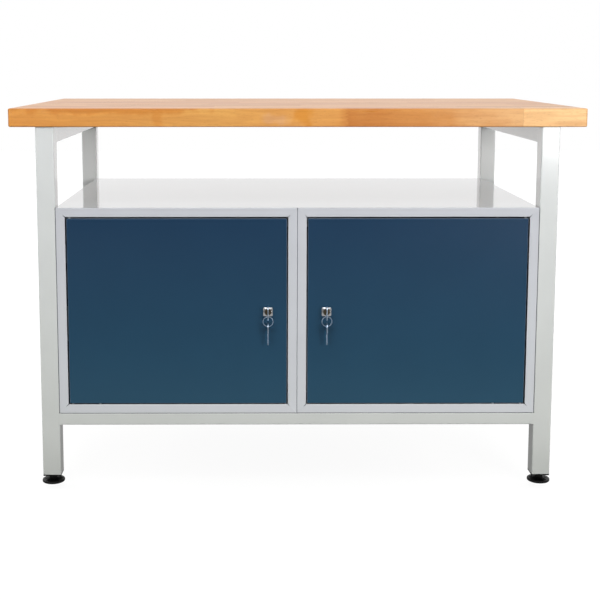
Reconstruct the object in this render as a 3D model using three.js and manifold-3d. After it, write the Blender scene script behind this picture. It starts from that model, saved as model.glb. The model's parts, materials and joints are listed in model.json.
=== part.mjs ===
// Workbench with two cabinets, millimetres, +Z up, floor at Z = 0, front towards -Y.
import * as THREE from "three";
import { mergeVertices } from "three/addons/utils/BufferGeometryUtils.js";
import Module from "manifold-3d";

const wasm = await Module();
wasm.setup();

// Worktop
const BENCH_HEIGHT = 840;
const WORKTOP_WIDTH = 1250;
const WORKTOP_DEPTH = 700;
const WORKTOP_THICKNESS = 40;
const WORKTOP_EDGE_RADIUS = 3;
const WORKTOP_CORNER_RADIUS = 1.5;

// Frame of welded square tube
const WORKTOP_SIDE_OVERHANG = 57;
const FRAME_WIDTH = WORKTOP_WIDTH - 2 * WORKTOP_SIDE_OVERHANG;
const FRAME_INSET = 4;
const LEG_SIZE = 40;
const TUBE_WALL = 2;
const TUBE_CORNER_RADIUS = 3;
const TOP_BAR_HEIGHT = 36;
const RAIL_HEIGHT = 27;
const RAIL_DEPTH = 40;
const RAIL_UNDERSIDE_Z = 136;

// Leg plugs and levelling feet
const LEG_END_Z = 21;
const PLUG_FLANGE = 3;
const PLUG_DEPTH = 25;
const PLUG_CORNER_RADIUS = 1.5;
const FOOT_RADIUS = 25;
const FOOT_RIM_HEIGHT = 4.5;
const FOOT_DISC_HEIGHT = 8;
const FOOT_HUB_RADIUS = 12;
const FOOT_EDGE_RADIUS = 1;
const FOOT_NUT_ACROSS_FLATS = 17;
const FOOT_NUT_HEIGHT = 6;
const STUD_RADIUS = 5;
const STUD_LENGTH = 42;
const STUD_TIP = 1;
const STUD_CLEARANCE = 0.3;

// Cabinets of folded sheet, two side by side between the legs
const CABINET_COUNT = 2;
const CABINET_HEIGHT = 461;
const CABINET_REAR_SETBACK = 57;
const CABINET_DEPTH = WORKTOP_DEPTH - 2 * FRAME_INSET - CABINET_REAR_SETBACK;
const SHEET = 1;
const BEND_INSIDE_RADIUS = 0.6;
const FRONT_FLANGE = 20.5;
const FRONT_RETURN = 15;
const STOP_RETURN = 21;
const STOP_LIP = 12;
const STOP_NOTCH = 24;
const JOINT_FLANGE = 15;
const SHEET_HOLE_CLEARANCE = 0.15;
const MITRE_GAP = 0.3;
const RELIEF_LENGTH = 5;
const RELIEF_WIDTH = 1.4;

// Shelf and its rails
const SHELF_EDGE = 20;
const SHELF_RETURN = 10;
const SHELF_SIDE_CLEARANCE = 2;
const SHELF_FRONT_SETBACK = 60;
const SHELF_REAR_SETBACK = 25;
const SHELF_RAIL_Z = 210;
const SHELF_RAIL_LEG = 25;
const SHELF_RAIL_LEDGE = 15;
const SHELF_RAIL_SHEET = 1.5;

// Door pans
const DOOR_PAN_DEPTH = 20;
const DOOR_GAP_HINGE = 3;
const DOOR_GAP_LOCK = 2.5;
const DOOR_GAP_TOP = 3;
const DOOR_GAP_BOTTOM = 2;
const DOOR_EDGE_RADIUS = 1.2;
const DOOR_CORNER_RADIUS = 1;
const DOOR_REAR_LIP = 10;
const STIFFENER_WIDTH = 60;
const STIFFENER_FOOT = 12;
const STIFFENER_DEPTH = 12;
const STIFFENER_CLEARANCE = 0.5;

// Door pivots
const PIVOT_FROM_EDGE = 9;
const PIVOT_FROM_FRONT = 5;
const PIVOT_RADIUS = 2.5;
const PIVOT_CLEARANCE = 0.3;
const PIVOT_REACH = 6;
const STRAP_LENGTH = 80;
const STRAP_WIDTH = 10;
const STRAP_THICKNESS = 2;
const STRAP_START = 3;
const STRAP_SETBACK = 2.2;
const RIVET_FROM_EDGE = 70;
const RIVET_SHANK_RADIUS = 1.8;
const RIVET_HEAD_RADIUS = 2.4;
const RIVET_HEAD_HEIGHT = 1.2;

// Cam lock
const LOCK_FROM_EDGE = 44;
const ROSE_WIDTH = 21;
const ROSE_HEIGHT = 19.5;
const ROSE_THICKNESS = 3;
const ROSE_CORNER_RADIUS = 2;
const ROSE_CHAMFER = 1;
const BARREL_RADIUS = 8;
const BARREL_REACH = 22.8;
const BARREL_HOLE_CLEARANCE = 0.15;
const LOCK_NUT_ACROSS_FLATS = 22;
const LOCK_NUT_HEIGHT = 4;
const CORE_RADIUS = 5.6;
const CORE_CLEARANCE = 0.3;
const CORE_COLLAR_RADIUS = 7;
const CORE_COLLAR_DEPTH = 1.4;
const CORE_PROUD = 0.5;
const CAM_GAP = 0.8;
const CAM_THICKNESS = 2;
const CAM_LENGTH = 40;
const CAM_HUB_RADIUS = 8;
const CAM_WIDTH = 12;
const TAIL_SQUARE = 6;
const TAIL_HEAD_RADIUS = 5;
const TAIL_HEAD_HEIGHT = 2.5;

// Keys, one blank for the key in the lock and for the spare
const KEY_THICKNESS = 2;
const KEY_BLADE_WIDTH = 7.6;
const KEY_BLADE_LENGTH = 24;
const KEY_CUT_DEPTHS = [1.6, 0.8, 2.1, 1.2];
const KEY_CUT_PITCH = 4;
const KEY_CUT_START = 5;
const KEY_CUT_SLOPE = 0.8;
const KEY_TIP_CHAMFER = 2;
const KEY_SHOULDER_WIDTH = 12;
const KEY_SHOULDER_LENGTH = 4;
const KEY_BOW_WIDTH = 30;
const KEY_BOW_LENGTH = 20;
const KEY_BOW_RADIUS = 7;
const KEY_SLOT_WIDTH = 5;
const KEY_SLOT_LENGTH = 16;
const KEY_SLOT_FROM_TIP = 8.5;
const KEYWAY_CLEARANCE = 0.2;
const KEY_SEAT_GAP = 0.3;
const RING_RADIUS = 10.9;
const RING_WIRE_RADIUS = 0.8;
const RING_HANG_GAP = 0.25;

// Build settings: cuts run past the faces they open by OVERRUN
const OVERRUN = 1;
const WELD = 1e-4;
const BEND_STEPS = 3;
const CORNER_STEPS = 3;
const CAM_STEPS = 16;
const PIN_SIDES = 16;
const BARREL_SIDES = 24;
const DISC_SIDES = 36;
const WIRE_SIDES = 6;
const RING_SIDES = 28;
const HEX_SIDES = 6;

// Places worked out from the sizes above, Y = 0 at the worktop's front until the whole part is centred
const worktopUndersideZ = BENCH_HEIGHT - WORKTOP_THICKNESS;
const frameFrontY = FRAME_INSET;
const frameDepth = WORKTOP_DEPTH - 2 * FRAME_INSET;
const legInnerX = FRAME_WIDTH / 2 - LEG_SIZE;
const tubeInside = LEG_SIZE - 2 * TUBE_WALL;
const sideBarLength = frameDepth - 2 * LEG_SIZE;
const cabinetWidth = (2 * legInnerX) / CABINET_COUNT;
const cabinetBaseZ = RAIL_UNDERSIDE_Z + RAIL_HEIGHT;
const openingHalfWidth = cabinetWidth / 2 - FRONT_FLANGE;
const openingBottom = FRONT_FLANGE;
const openingTop = CABINET_HEIGHT - FRONT_FLANGE;
const doorWidth = 2 * openingHalfWidth - DOOR_GAP_HINGE - DOOR_GAP_LOCK;
const doorHeight = openingTop - openingBottom - DOOR_GAP_TOP - DOOR_GAP_BOTTOM;
const doorBottomZ = openingBottom + DOOR_GAP_BOTTOM;
const lockZ = doorBottomZ + doorHeight / 2;
const camFrontY = BARREL_REACH + CAM_GAP;
const coreFaceY = -ROSE_THICKNESS - CORE_PROUD;
const keySeatY = coreFaceY - KEY_SEAT_GAP;
const keyLength = KEY_BLADE_LENGTH + KEY_SHOULDER_LENGTH + KEY_BOW_LENGTH;
const keyFrontY = keySeatY - KEY_SHOULDER_LENGTH - KEY_BOW_LENGTH;
const keyTipY = keySeatY + KEY_BLADE_LENGTH;
const slotY = keyFrontY + KEY_SLOT_FROM_TIP;
const ringTopDrop = KEY_SLOT_LENGTH / 2 - RING_HANG_GAP - RING_WIRE_RADIUS;
const ringCentreDrop = ringTopDrop + RING_RADIUS;
const spareTopDrop =
  ringCentreDrop + RING_RADIUS - RING_WIRE_RADIUS - RING_HANG_GAP
  - (KEY_SLOT_FROM_TIP - KEY_SLOT_WIDTH / 2);
const legCentreX = FRAME_WIDTH / 2 - LEG_SIZE / 2;
const frontLegCentreY = frameFrontY + LEG_SIZE / 2;
const rearLegCentreY = frameFrontY + frameDepth - LEG_SIZE / 2;
const partFrontY = Math.min(0, frameFrontY + slotY - KEY_BOW_WIDTH / 2);
const partRearY = Math.max(WORKTOP_DEPTH, rearLegCentreY + FOOT_RADIUS);
const partCentreY = (partFrontY + partRearY) / 2;

// Finishes: colour, roughness, metalness
const finishes = {
  beech: [0xd9ab74, 0.45, 0],
  lightGrey: [0xcbcecc, 0.4, 0.1],
  darkBlue: [0x2b4157, 0.45, 0.1],
  blackPlastic: [0x141414, 0.6, 0],
  chrome: [0xd8d9dc, 0.15, 1],
  zincSteel: [0xb4b6b8, 0.35, 1],
};

const part = new THREE.Group();
part.name = "workbench";
part.position.y = -partCentreY;

function piece(name, geometry, finish) {
  const [color, roughness, metalness] = finishes[finish];
  const material = new THREE.MeshStandardMaterial({ color, roughness, metalness });
  material.name = name;
  const mesh = new THREE.Mesh(geometry, material);
  mesh.name = name;
  return mesh;
}

// Solids from geometries and back
function toSolid(geometry) {
  const bare = new THREE.BufferGeometry();
  bare.setAttribute("position", geometry.getAttribute("position").clone());
  if (geometry.index) bare.setIndex(geometry.index.clone());
  const welded = mergeVertices(bare, WELD);
  const mesh = new wasm.Mesh({
    numProp: 3,
    vertProperties: new Float32Array(welded.getAttribute("position").array),
    triVerts: new Uint32Array(welded.index.array),
  });
  return new wasm.Manifold(mesh);
}

function toGeometry(solid) {
  const mesh = solid.getMesh();
  const geometry = new THREE.BufferGeometry();
  geometry.setAttribute("position", new THREE.BufferAttribute(mesh.vertProperties, mesh.numProp));
  geometry.setIndex(new THREE.BufferAttribute(mesh.triVerts, 1));
  geometry.computeVertexNormals();
  return geometry;
}

function shaped(base, joined, cut = []) {
  let solid = toSolid(base);
  joined.forEach((geometry) => {
    solid = solid.add(toSolid(geometry));
  });
  cut.forEach((geometry) => {
    solid = solid.subtract(toSolid(geometry));
  });
  return toGeometry(solid);
}

// Block between two corners
function block(x0, x1, y0, y1, z0, z1) {
  const geometry = new THREE.BoxGeometry(x1 - x0, y1 - y0, z1 - z0);
  return geometry.translate((x0 + x1) / 2, (y0 + y1) / 2, (z0 + z1) / 2);
}

// Round bar along +Y from y0 to y1, centred on X = Z = 0
function roundAlongY(radius, y0, y1, sides = BARREL_SIDES) {
  return new THREE.CylinderGeometry(radius, radius, y1 - y0, sides).translate(0, (y0 + y1) / 2, 0);
}

// Round bar along +Z from z0 to z1
function roundAlongZ(radius, x, y, z0, z1, sides = PIN_SIDES) {
  const geometry = new THREE.CylinderGeometry(radius, radius, z1 - z0, sides);
  return geometry.rotateX(Math.PI / 2).translate(x, y, (z0 + z1) / 2);
}

// Outline of a rectangle with round corners, centred on x, y
function roundedOutline(target, width, height, radius, x = 0, y = 0) {
  const left = x - width / 2;
  const right = x + width / 2;
  const low = y - height / 2;
  const high = y + height / 2;
  target.moveTo(left + radius, low);
  target.lineTo(right - radius, low);
  target.absarc(right - radius, low + radius, radius, -Math.PI / 2, 0, false);
  target.lineTo(right, high - radius);
  target.absarc(right - radius, high - radius, radius, 0, Math.PI / 2, false);
  target.lineTo(left + radius, high);
  target.absarc(left + radius, high - radius, radius, Math.PI / 2, Math.PI, false);
  target.lineTo(left, low + radius);
  target.absarc(left + radius, low + radius, radius, Math.PI, Math.PI * 1.5, false);
  target.closePath();
  return target;
}

function straightExtrusion(shape, length) {
  const settings = { depth: length, bevelEnabled: false, curveSegments: CORNER_STEPS };
  return new THREE.ExtrudeGeometry(shape, settings);
}

// A shape drawn in Y and Z, run along +X from x0
function runAlongX(shape, length, x0) {
  const turned = new THREE.Matrix4().makeBasis(
    new THREE.Vector3(0, 1, 0),
    new THREE.Vector3(0, 0, 1),
    new THREE.Vector3(1, 0, 0),
  );
  return straightExtrusion(shape, length).applyMatrix4(turned).translate(x0, 0, 0);
}

// A shape drawn in X and Z, run along +Y from y0
function runAlongY(shape, length, y0) {
  return straightExtrusion(shape, length).rotateX(Math.PI / 2).translate(0, y0 + length, 0);
}

// A shape drawn in X and Y, run along +Z from z0
function runAlongZ(shape, length, z0) {
  return straightExtrusion(shape, length).translate(0, 0, z0);
}

function polygon(points) {
  return new THREE.Shape(points.map(([x, y]) => new THREE.Vector2(x, y)));
}

// Section of a folded sheet: the corners run along one face, the sheet lies to the right of them
function foldedSection(cornerList, sheet = SHEET, insideRadius = BEND_INSIDE_RADIUS) {
  const corners = cornerList.map(([x, y]) => new THREE.Vector2(x, y));
  const near = [];
  const far = [];
  corners.forEach((corner, index) => {
    const before = corners[index - 1];
    const after = corners[index + 1];
    if (!before || !after) {
      const along = before ? corner.clone().sub(before) : after.clone().sub(corner);
      along.normalize();
      near.push(corner.clone());
      far.push(corner.clone().add(new THREE.Vector2(along.y, -along.x).multiplyScalar(sheet)));
      return;
    }
    const arriving = corner.clone().sub(before).normalize();
    const leaving = after.clone().sub(corner).normalize();
    const turn = Math.atan2(arriving.cross(leaving), arriving.dot(leaving));
    const side = Math.sign(turn);
    const outsideRadius = insideRadius + sheet;
    const nearRadius = side < 0 ? outsideRadius : insideRadius;
    const farRadius = side < 0 ? insideRadius : outsideRadius;
    const setback = nearRadius * Math.tan(Math.abs(turn) / 2);
    const start = corner.clone().addScaledVector(arriving, -setback);
    const inward = new THREE.Vector2(-arriving.y, arriving.x).multiplyScalar(side);
    const centre = start.clone().addScaledVector(inward, nearRadius);
    for (let step = 0; step <= BEND_STEPS; step += 1) {
      const spoke = inward.clone().negate();
      spoke.rotateAround(new THREE.Vector2(), (turn * step) / BEND_STEPS);
      near.push(centre.clone().addScaledVector(spoke, nearRadius));
      far.push(centre.clone().addScaledVector(spoke, farRadius));
    }
  });
  const outline = [...near, ...far.reverse()];
  if (THREE.ShapeUtils.area(outline) < 0) outline.reverse();
  return new THREE.Shape(outline);
}

// Plate with round corners and rounded front edges: drawn in X and Z, front face at Y = 0
function easedPlate(width, height, thickness, edgeRadius, cornerRadius) {
  const outline = new THREE.Shape();
  const plainWidth = width - 2 * edgeRadius;
  const plainHeight = height - 2 * edgeRadius;
  roundedOutline(outline, plainWidth, plainHeight, cornerRadius);
  const geometry = new THREE.ExtrudeGeometry(outline, {
    depth: thickness,
    bevelEnabled: true,
    bevelThickness: edgeRadius,
    bevelSize: edgeRadius,
    bevelSegments: BEND_STEPS,
    curveSegments: CORNER_STEPS,
  });
  geometry.rotateX(Math.PI / 2).translate(0, thickness + edgeRadius, 0);
  const surplus = block(
    -width, width, thickness, thickness + 2 * edgeRadius + OVERRUN, -height, height,
  );
  return shaped(geometry, [], [surplus]);
}

// Worktop: both faces have rounded edges
function makeWorktop() {
  const outline = new THREE.Shape();
  roundedOutline(
    outline,
    WORKTOP_WIDTH - 2 * WORKTOP_EDGE_RADIUS,
    WORKTOP_DEPTH - 2 * WORKTOP_EDGE_RADIUS,
    WORKTOP_CORNER_RADIUS,
  );
  const geometry = new THREE.ExtrudeGeometry(outline, {
    depth: WORKTOP_THICKNESS - 2 * WORKTOP_EDGE_RADIUS,
    bevelEnabled: true,
    bevelThickness: WORKTOP_EDGE_RADIUS,
    bevelSize: WORKTOP_EDGE_RADIUS,
    bevelSegments: BEND_STEPS,
    curveSegments: CORNER_STEPS,
  });
  geometry.translate(0, WORKTOP_DEPTH / 2, worktopUndersideZ + WORKTOP_EDGE_RADIUS);
  return geometry;
}

// Hollow tube section centred on x, y
function tubeSection(width, height, x, y) {
  const section = roundedOutline(new THREE.Shape(), width, height, TUBE_CORNER_RADIUS, x, y);
  const bore = roundedOutline(
    new THREE.Path(),
    width - 2 * TUBE_WALL,
    height - 2 * TUBE_WALL,
    TUBE_CORNER_RADIUS - TUBE_WALL,
    x,
    y,
  );
  section.holes.push(bore);
  return section;
}

const legCentres = {
  front_left: [-legCentreX, frontLegCentreY],
  front_right: [legCentreX, frontLegCentreY],
  rear_left: [-legCentreX, rearLegCentreY],
  rear_right: [legCentreX, rearLegCentreY],
};

function makeLeg(x, y) {
  const section = tubeSection(LEG_SIZE, LEG_SIZE, x, y);
  return runAlongZ(section, worktopUndersideZ - LEG_END_Z, LEG_END_Z);
}

// Bar from the front leg to the rear leg
function makeSideBar(x, height, undersideZ) {
  const section = tubeSection(LEG_SIZE, height, x, undersideZ + height / 2);
  return runAlongY(section, sideBarLength, frameFrontY + LEG_SIZE);
}

// Rail across the bench, between the legs or the side bars
function makeCrossRail(depth, height, y, undersideZ) {
  const section = tubeSection(depth, height, y + depth / 2, undersideZ + height / 2);
  return runAlongX(section, 2 * legInnerX, -legInnerX);
}

// Plug that closes the leg and carries the foot's thread
function makePlug(x, y) {
  const flange = runAlongZ(
    roundedOutline(new THREE.Shape(), LEG_SIZE, LEG_SIZE, TUBE_CORNER_RADIUS, x, y),
    PLUG_FLANGE,
    LEG_END_Z - PLUG_FLANGE,
  );
  const body = runAlongZ(
    roundedOutline(new THREE.Shape(), tubeInside, tubeInside, PLUG_CORNER_RADIUS, x, y),
    PLUG_DEPTH + OVERRUN,
    LEG_END_Z - OVERRUN,
  );
  const thread = roundAlongZ(
    STUD_RADIUS + STUD_CLEARANCE,
    x,
    y,
    LEG_END_Z - PLUG_FLANGE - OVERRUN,
    LEG_END_Z + PLUG_DEPTH + OVERRUN,
  );
  return shaped(flange, [body], [thread]);
}

// Foot: dished disc, hexagon for the spanner, threaded stud
function makeFoot(x, y) {
  const points = [
    [0, 0],
    [FOOT_RADIUS - FOOT_EDGE_RADIUS, 0],
    [FOOT_RADIUS, FOOT_EDGE_RADIUS],
    [FOOT_RADIUS, FOOT_RIM_HEIGHT],
    [FOOT_RADIUS - FOOT_EDGE_RADIUS, FOOT_RIM_HEIGHT + FOOT_EDGE_RADIUS],
    [FOOT_HUB_RADIUS, FOOT_DISC_HEIGHT],
    [STUD_RADIUS, FOOT_DISC_HEIGHT],
    [STUD_RADIUS, STUD_LENGTH + FOOT_DISC_HEIGHT - STUD_TIP],
    [STUD_RADIUS - STUD_TIP, STUD_LENGTH + FOOT_DISC_HEIGHT],
    [0, STUD_LENGTH + FOOT_DISC_HEIGHT],
  ];
  const profile = points.map(([radius, height]) => new THREE.Vector2(radius, height));
  const turned = new THREE.LatheGeometry(profile, DISC_SIDES).rotateX(Math.PI / 2);
  const nutRadius = FOOT_NUT_ACROSS_FLATS / 2 / Math.cos(Math.PI / HEX_SIDES);
  const nut = roundAlongZ(
    nutRadius,
    0,
    0,
    FOOT_DISC_HEIGHT - OVERRUN,
    FOOT_DISC_HEIGHT + FOOT_NUT_HEIGHT,
    HEX_SIDES,
  );
  return shaped(turned, [nut]).translate(x, y, 0);
}

// A point list drawn at the lower left corner of a cabinet front, moved to one of its corners
function atFrontCorner(points, right, top) {
  const x = right ? cabinetWidth / 2 : -cabinetWidth / 2;
  const z = top ? CABINET_HEIGHT : 0;
  return points.map(([along, up]) => [right ? x - along : x + along, top ? z - up : z + up]);
}

// Wedge that mitres the end of a front flange: "upright" trims a standing flange
function mitreWedge(upright, right, top) {
  const far = FRONT_FLANGE + STOP_LIP + OVERRUN;
  const gap = MITRE_GAP / 2;
  const trimStanding = [
    [SHEET, -OVERRUN], [far, -OVERRUN], [far, far + gap], [SHEET, SHEET + gap],
  ];
  const trimLevel = [
    [-OVERRUN, SHEET], [SHEET + gap, SHEET], [far + gap, far], [-OVERRUN, far],
  ];
  const points = atFrontCorner(upright ? trimStanding : trimLevel, right, top);
  return runAlongY(polygon(points), STOP_RETURN + SHEET + OVERRUN, -OVERRUN);
}

// Slot that relieves the folded corner of the opening, along the mitre
function reliefSlot(right, top) {
  const reach = RELIEF_LENGTH;
  const half = RELIEF_WIDTH / 2;
  const slot = block(-reach, reach, -OVERRUN, FRONT_RETURN + OVERRUN, -half, half);
  const [[x, z]] = atFrontCorner([[FRONT_FLANGE, FRONT_FLANGE]], right, top);
  return slot.rotateY(right === top ? -Math.PI / 4 : Math.PI / 4).translate(x, 0, z);
}

// Standing side of a cabinet: wall, front flange, return and, on the lock side, the stop lip
function makeCabinetSide(right, withStop) {
  const wallX = -cabinetWidth / 2;
  const edgeX = wallX + FRONT_FLANGE;
  const startOfReturn = withStop
    ? [[edgeX + STOP_LIP, STOP_RETURN], [edgeX, STOP_RETURN]]
    : [[edgeX, FRONT_RETURN]];
  let path = [...startOfReturn, [edgeX, 0], [wallX, 0], [wallX, CABINET_DEPTH]];
  if (right) path = path.map(([x, y]) => [-x, y]).reverse();
  const folded = runAlongZ(foldedSection(path), CABINET_HEIGHT, 0);
  const cuts = [
    mitreWedge(true, right, false),
    mitreWedge(true, right, true),
    reliefSlot(right, false),
    reliefSlot(right, true),
  ];
  if (withStop) {
    const reach = [edgeX - SHEET - OVERRUN, edgeX + STOP_LIP + OVERRUN];
    const [x0, x1] = right ? [-reach[1], -reach[0]] : reach;
    const notchEnds = [
      [-OVERRUN, openingBottom + STOP_NOTCH],
      [openingTop - STOP_NOTCH, CABINET_HEIGHT + OVERRUN],
    ];
    notchEnds.forEach(([z0, z1]) => {
      cuts.push(block(x0, x1, FRONT_RETURN, STOP_RETURN + SHEET + OVERRUN, z0, z1));
    });
  }
  return shaped(folded, [], cuts);
}

// Level wall of a cabinet, top or bottom, with the holes for a door pivot at x
function makeCabinetDeck(top, pivotX, rivetX) {
  const wallZ = top ? CABINET_HEIGHT : 0;
  const edgeZ = top ? openingTop : openingBottom;
  let path = [[FRONT_RETURN, edgeZ], [0, edgeZ], [0, wallZ], [CABINET_DEPTH, wallZ]];
  if (!top) path = path.reverse();
  const span = cabinetWidth - 2 * SHEET;
  const folded = runAlongX(foldedSection(path), span, -span / 2);
  const flangeEndZ = top ? wallZ - JOINT_FLANGE : wallZ + JOINT_FLANGE;
  const flangeStart = STOP_RETURN + SHEET + OVERRUN;
  const flangeStop = CABINET_DEPTH - JOINT_FLANGE - OVERRUN;
  const sideFlanges = [-span / 2, span / 2 - SHEET].map((x) => block(
    x, x + SHEET,
    flangeStart, flangeStop,
    Math.min(flangeEndZ, wallZ), Math.max(flangeEndZ, wallZ),
  ));
  const holeZ = [edgeZ - SHEET - OVERRUN, edgeZ + SHEET + OVERRUN];
  const pinHole = PIVOT_RADIUS + SHEET_HOLE_CLEARANCE;
  const rivetHole = RIVET_SHANK_RADIUS + SHEET_HOLE_CLEARANCE;
  const cuts = [
    mitreWedge(false, false, top),
    mitreWedge(false, true, top),
    reliefSlot(false, top),
    reliefSlot(true, top),
    roundAlongZ(pinHole, pivotX, PIVOT_FROM_FRONT, ...holeZ),
    roundAlongZ(rivetHole, rivetX, PIVOT_FROM_FRONT, ...holeZ),
  ];
  return shaped(folded, sideFlanges, cuts);
}

// Back wall: a tray whose flanges lie against the sides and the decks
function makeCabinetBack() {
  const half = cabinetWidth / 2 - SHEET;
  const frontY = CABINET_DEPTH - JOINT_FLANGE;
  const tray = block(-half, half, frontY, CABINET_DEPTH, SHEET, CABINET_HEIGHT - SHEET);
  const hollow = block(
    -half + SHEET, half - SHEET,
    frontY - OVERRUN, CABINET_DEPTH - SHEET,
    2 * SHEET, CABINET_HEIGHT - 2 * SHEET,
  );
  return shaped(tray, [], [hollow]);
}

const shelfHalfWidth = cabinetWidth / 2 - SHEET - SHELF_SIDE_CLEARANCE;
const shelfRearY = CABINET_DEPTH - SHELF_REAR_SETBACK;

// Shelf: folded down on all sides, with a return along the front edge
function makeShelf() {
  const topZ = SHELF_RAIL_Z + SHELF_EDGE;
  const path = [
    [SHELF_FRONT_SETBACK + SHELF_RETURN, SHELF_RAIL_Z],
    [SHELF_FRONT_SETBACK, SHELF_RAIL_Z],
    [SHELF_FRONT_SETBACK, topZ],
    [shelfRearY, topZ],
    [shelfRearY, SHELF_RAIL_Z],
  ];
  const folded = runAlongX(foldedSection(path), 2 * shelfHalfWidth, -shelfHalfWidth);
  const ends = [-shelfHalfWidth, shelfHalfWidth - SHEET].map((x) => block(
    x, x + SHEET,
    SHELF_FRONT_SETBACK + SHEET / 2, shelfRearY - SHEET / 2,
    SHELF_RAIL_Z + SHEET / 2, topZ - SHEET / 2,
  ));
  return shaped(folded, ends);
}

// Angle on a cabinet side that the shelf lies on
function makeShelfRail(right) {
  const wallX = -cabinetWidth / 2 + SHEET;
  let path = [
    [wallX, SHELF_RAIL_Z - SHELF_RAIL_LEG],
    [wallX, SHELF_RAIL_Z],
    [wallX + SHELF_RAIL_LEDGE, SHELF_RAIL_Z],
  ];
  if (right) path = path.map(([x, z]) => [-x, z]).reverse();
  const section = foldedSection(path, SHELF_RAIL_SHEET);
  return runAlongY(section, shelfRearY - SHELF_FRONT_SETBACK, SHELF_FRONT_SETBACK);
}

// Door pan: rounded front, flanges and rear lips, holes for the lock and the two pivots
function makeDoorPan(centreX, lockX, pivotX) {
  const radius = DOOR_EDGE_RADIUS;
  const plate = easedPlate(doorWidth, doorHeight, DOOR_PAN_DEPTH, radius, DOOR_CORNER_RADIUS);
  plate.translate(centreX, 0, lockZ);
  const halfWidth = doorWidth / 2 - SHEET;
  const halfHeight = doorHeight / 2 - SHEET;
  const hollow = block(
    centreX - halfWidth, centreX + halfWidth,
    SHEET, DOOR_PAN_DEPTH - SHEET,
    lockZ - halfHeight, lockZ + halfHeight,
  );
  const lip = DOOR_REAR_LIP - SHEET;
  const rearOpening = block(
    centreX - halfWidth + lip, centreX + halfWidth - lip,
    DOOR_PAN_DEPTH / 2, DOOR_PAN_DEPTH + OVERRUN,
    lockZ - halfHeight + lip, lockZ + halfHeight - lip,
  );
  const lockHole = roundAlongY(
    BARREL_RADIUS + BARREL_HOLE_CLEARANCE, -OVERRUN, SHEET + OVERRUN,
  ).translate(lockX, 0, lockZ);
  const pivotHole = roundAlongZ(
    PIVOT_RADIUS + PIVOT_CLEARANCE,
    pivotX,
    PIVOT_FROM_FRONT,
    doorBottomZ - OVERRUN,
    doorBottomZ + doorHeight + OVERRUN,
  );
  return shaped(plate, [], [hollow, rearOpening, lockHole, pivotHole]);
}

// Hat channel welded behind the door's skin
function makeStiffener(centreX) {
  const half = STIFFENER_WIDTH / 2;
  const path = [
    [half + STIFFENER_FOOT, SHEET],
    [half, SHEET],
    [half, STIFFENER_DEPTH],
    [-half, STIFFENER_DEPTH],
    [-half, SHEET],
    [-half - STIFFENER_FOOT, SHEET],
  ];
  const inset = SHEET + STIFFENER_CLEARANCE;
  const length = doorHeight - 2 * inset;
  return runAlongZ(foldedSection(path), length, doorBottomZ + inset).translate(centreX, 0, 0);
}

// Pivot: strap inside the frame, pin into the door, rivet that holds the strap
function makePivot(top, pivotX, rivetX, towardsLock) {
  const up = top ? 1 : -1;
  const edgeZ = top ? openingTop : openingBottom;
  const gap = top ? DOOR_GAP_TOP : DOOR_GAP_BOTTOM;
  const fromEdge = (offset) => edgeZ + up * offset;
  const between = (a, b) => [Math.min(a, b), Math.max(a, b)];
  const startX = pivotX - towardsLock * (PIVOT_FROM_EDGE - STRAP_START);
  const strap = block(
    ...between(startX, startX + towardsLock * STRAP_LENGTH),
    STRAP_SETBACK, STRAP_SETBACK + STRAP_WIDTH,
    ...between(fromEdge(SHEET), fromEdge(SHEET + STRAP_THICKNESS)),
  );
  const strapMiddle = fromEdge(SHEET + STRAP_THICKNESS / 2);
  const pinEnds = between(strapMiddle, fromEdge(-gap - PIVOT_REACH));
  const shankEnds = between(strapMiddle, fromEdge(-RIVET_HEAD_HEIGHT / 2));
  const headEnds = between(fromEdge(0), fromEdge(-RIVET_HEAD_HEIGHT));
  const pin = roundAlongZ(PIVOT_RADIUS, pivotX, PIVOT_FROM_FRONT, ...pinEnds);
  const shank = roundAlongZ(RIVET_SHANK_RADIUS, rivetX, PIVOT_FROM_FRONT, ...shankEnds);
  const head = roundAlongZ(RIVET_HEAD_RADIUS, rivetX, PIVOT_FROM_FRONT, ...headEnds);
  return shaped(strap, [pin, shank, head]);
}

// Lock housing: square rose in front of the door, threaded barrel through it
function makeLockHousing() {
  const rose = easedPlate(ROSE_WIDTH, ROSE_HEIGHT, ROSE_THICKNESS, ROSE_CHAMFER, ROSE_CORNER_RADIUS);
  rose.translate(0, -ROSE_THICKNESS, 0);
  const barrel = roundAlongY(BARREL_RADIUS, -ROSE_THICKNESS / 2, BARREL_REACH);
  const collarSeatY = coreFaceY + CORE_COLLAR_DEPTH + CORE_CLEARANCE;
  const bore = roundAlongY(
    CORE_RADIUS + CORE_CLEARANCE, -ROSE_THICKNESS - OVERRUN, BARREL_REACH + OVERRUN,
  );
  const collarSeat = roundAlongY(
    CORE_COLLAR_RADIUS + CORE_CLEARANCE, -ROSE_THICKNESS - OVERRUN, collarSeatY,
  );
  return shaped(rose, [barrel], [bore, collarSeat]);
}

function makeLockNut() {
  const points = [];
  const radius = LOCK_NUT_ACROSS_FLATS / 2 / Math.cos(Math.PI / HEX_SIDES);
  for (let side = 0; side < HEX_SIDES; side += 1) {
    const angle = (2 * Math.PI * side) / HEX_SIDES;
    points.push([radius * Math.cos(angle), radius * Math.sin(angle)]);
  }
  const nut = runAlongY(polygon(points), LOCK_NUT_HEIGHT, SHEET);
  const thread = roundAlongY(
    BARREL_RADIUS + BARREL_HOLE_CLEARANCE, -OVERRUN, SHEET + LOCK_NUT_HEIGHT + OVERRUN,
  );
  return shaped(nut, [], [thread]);
}

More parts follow.
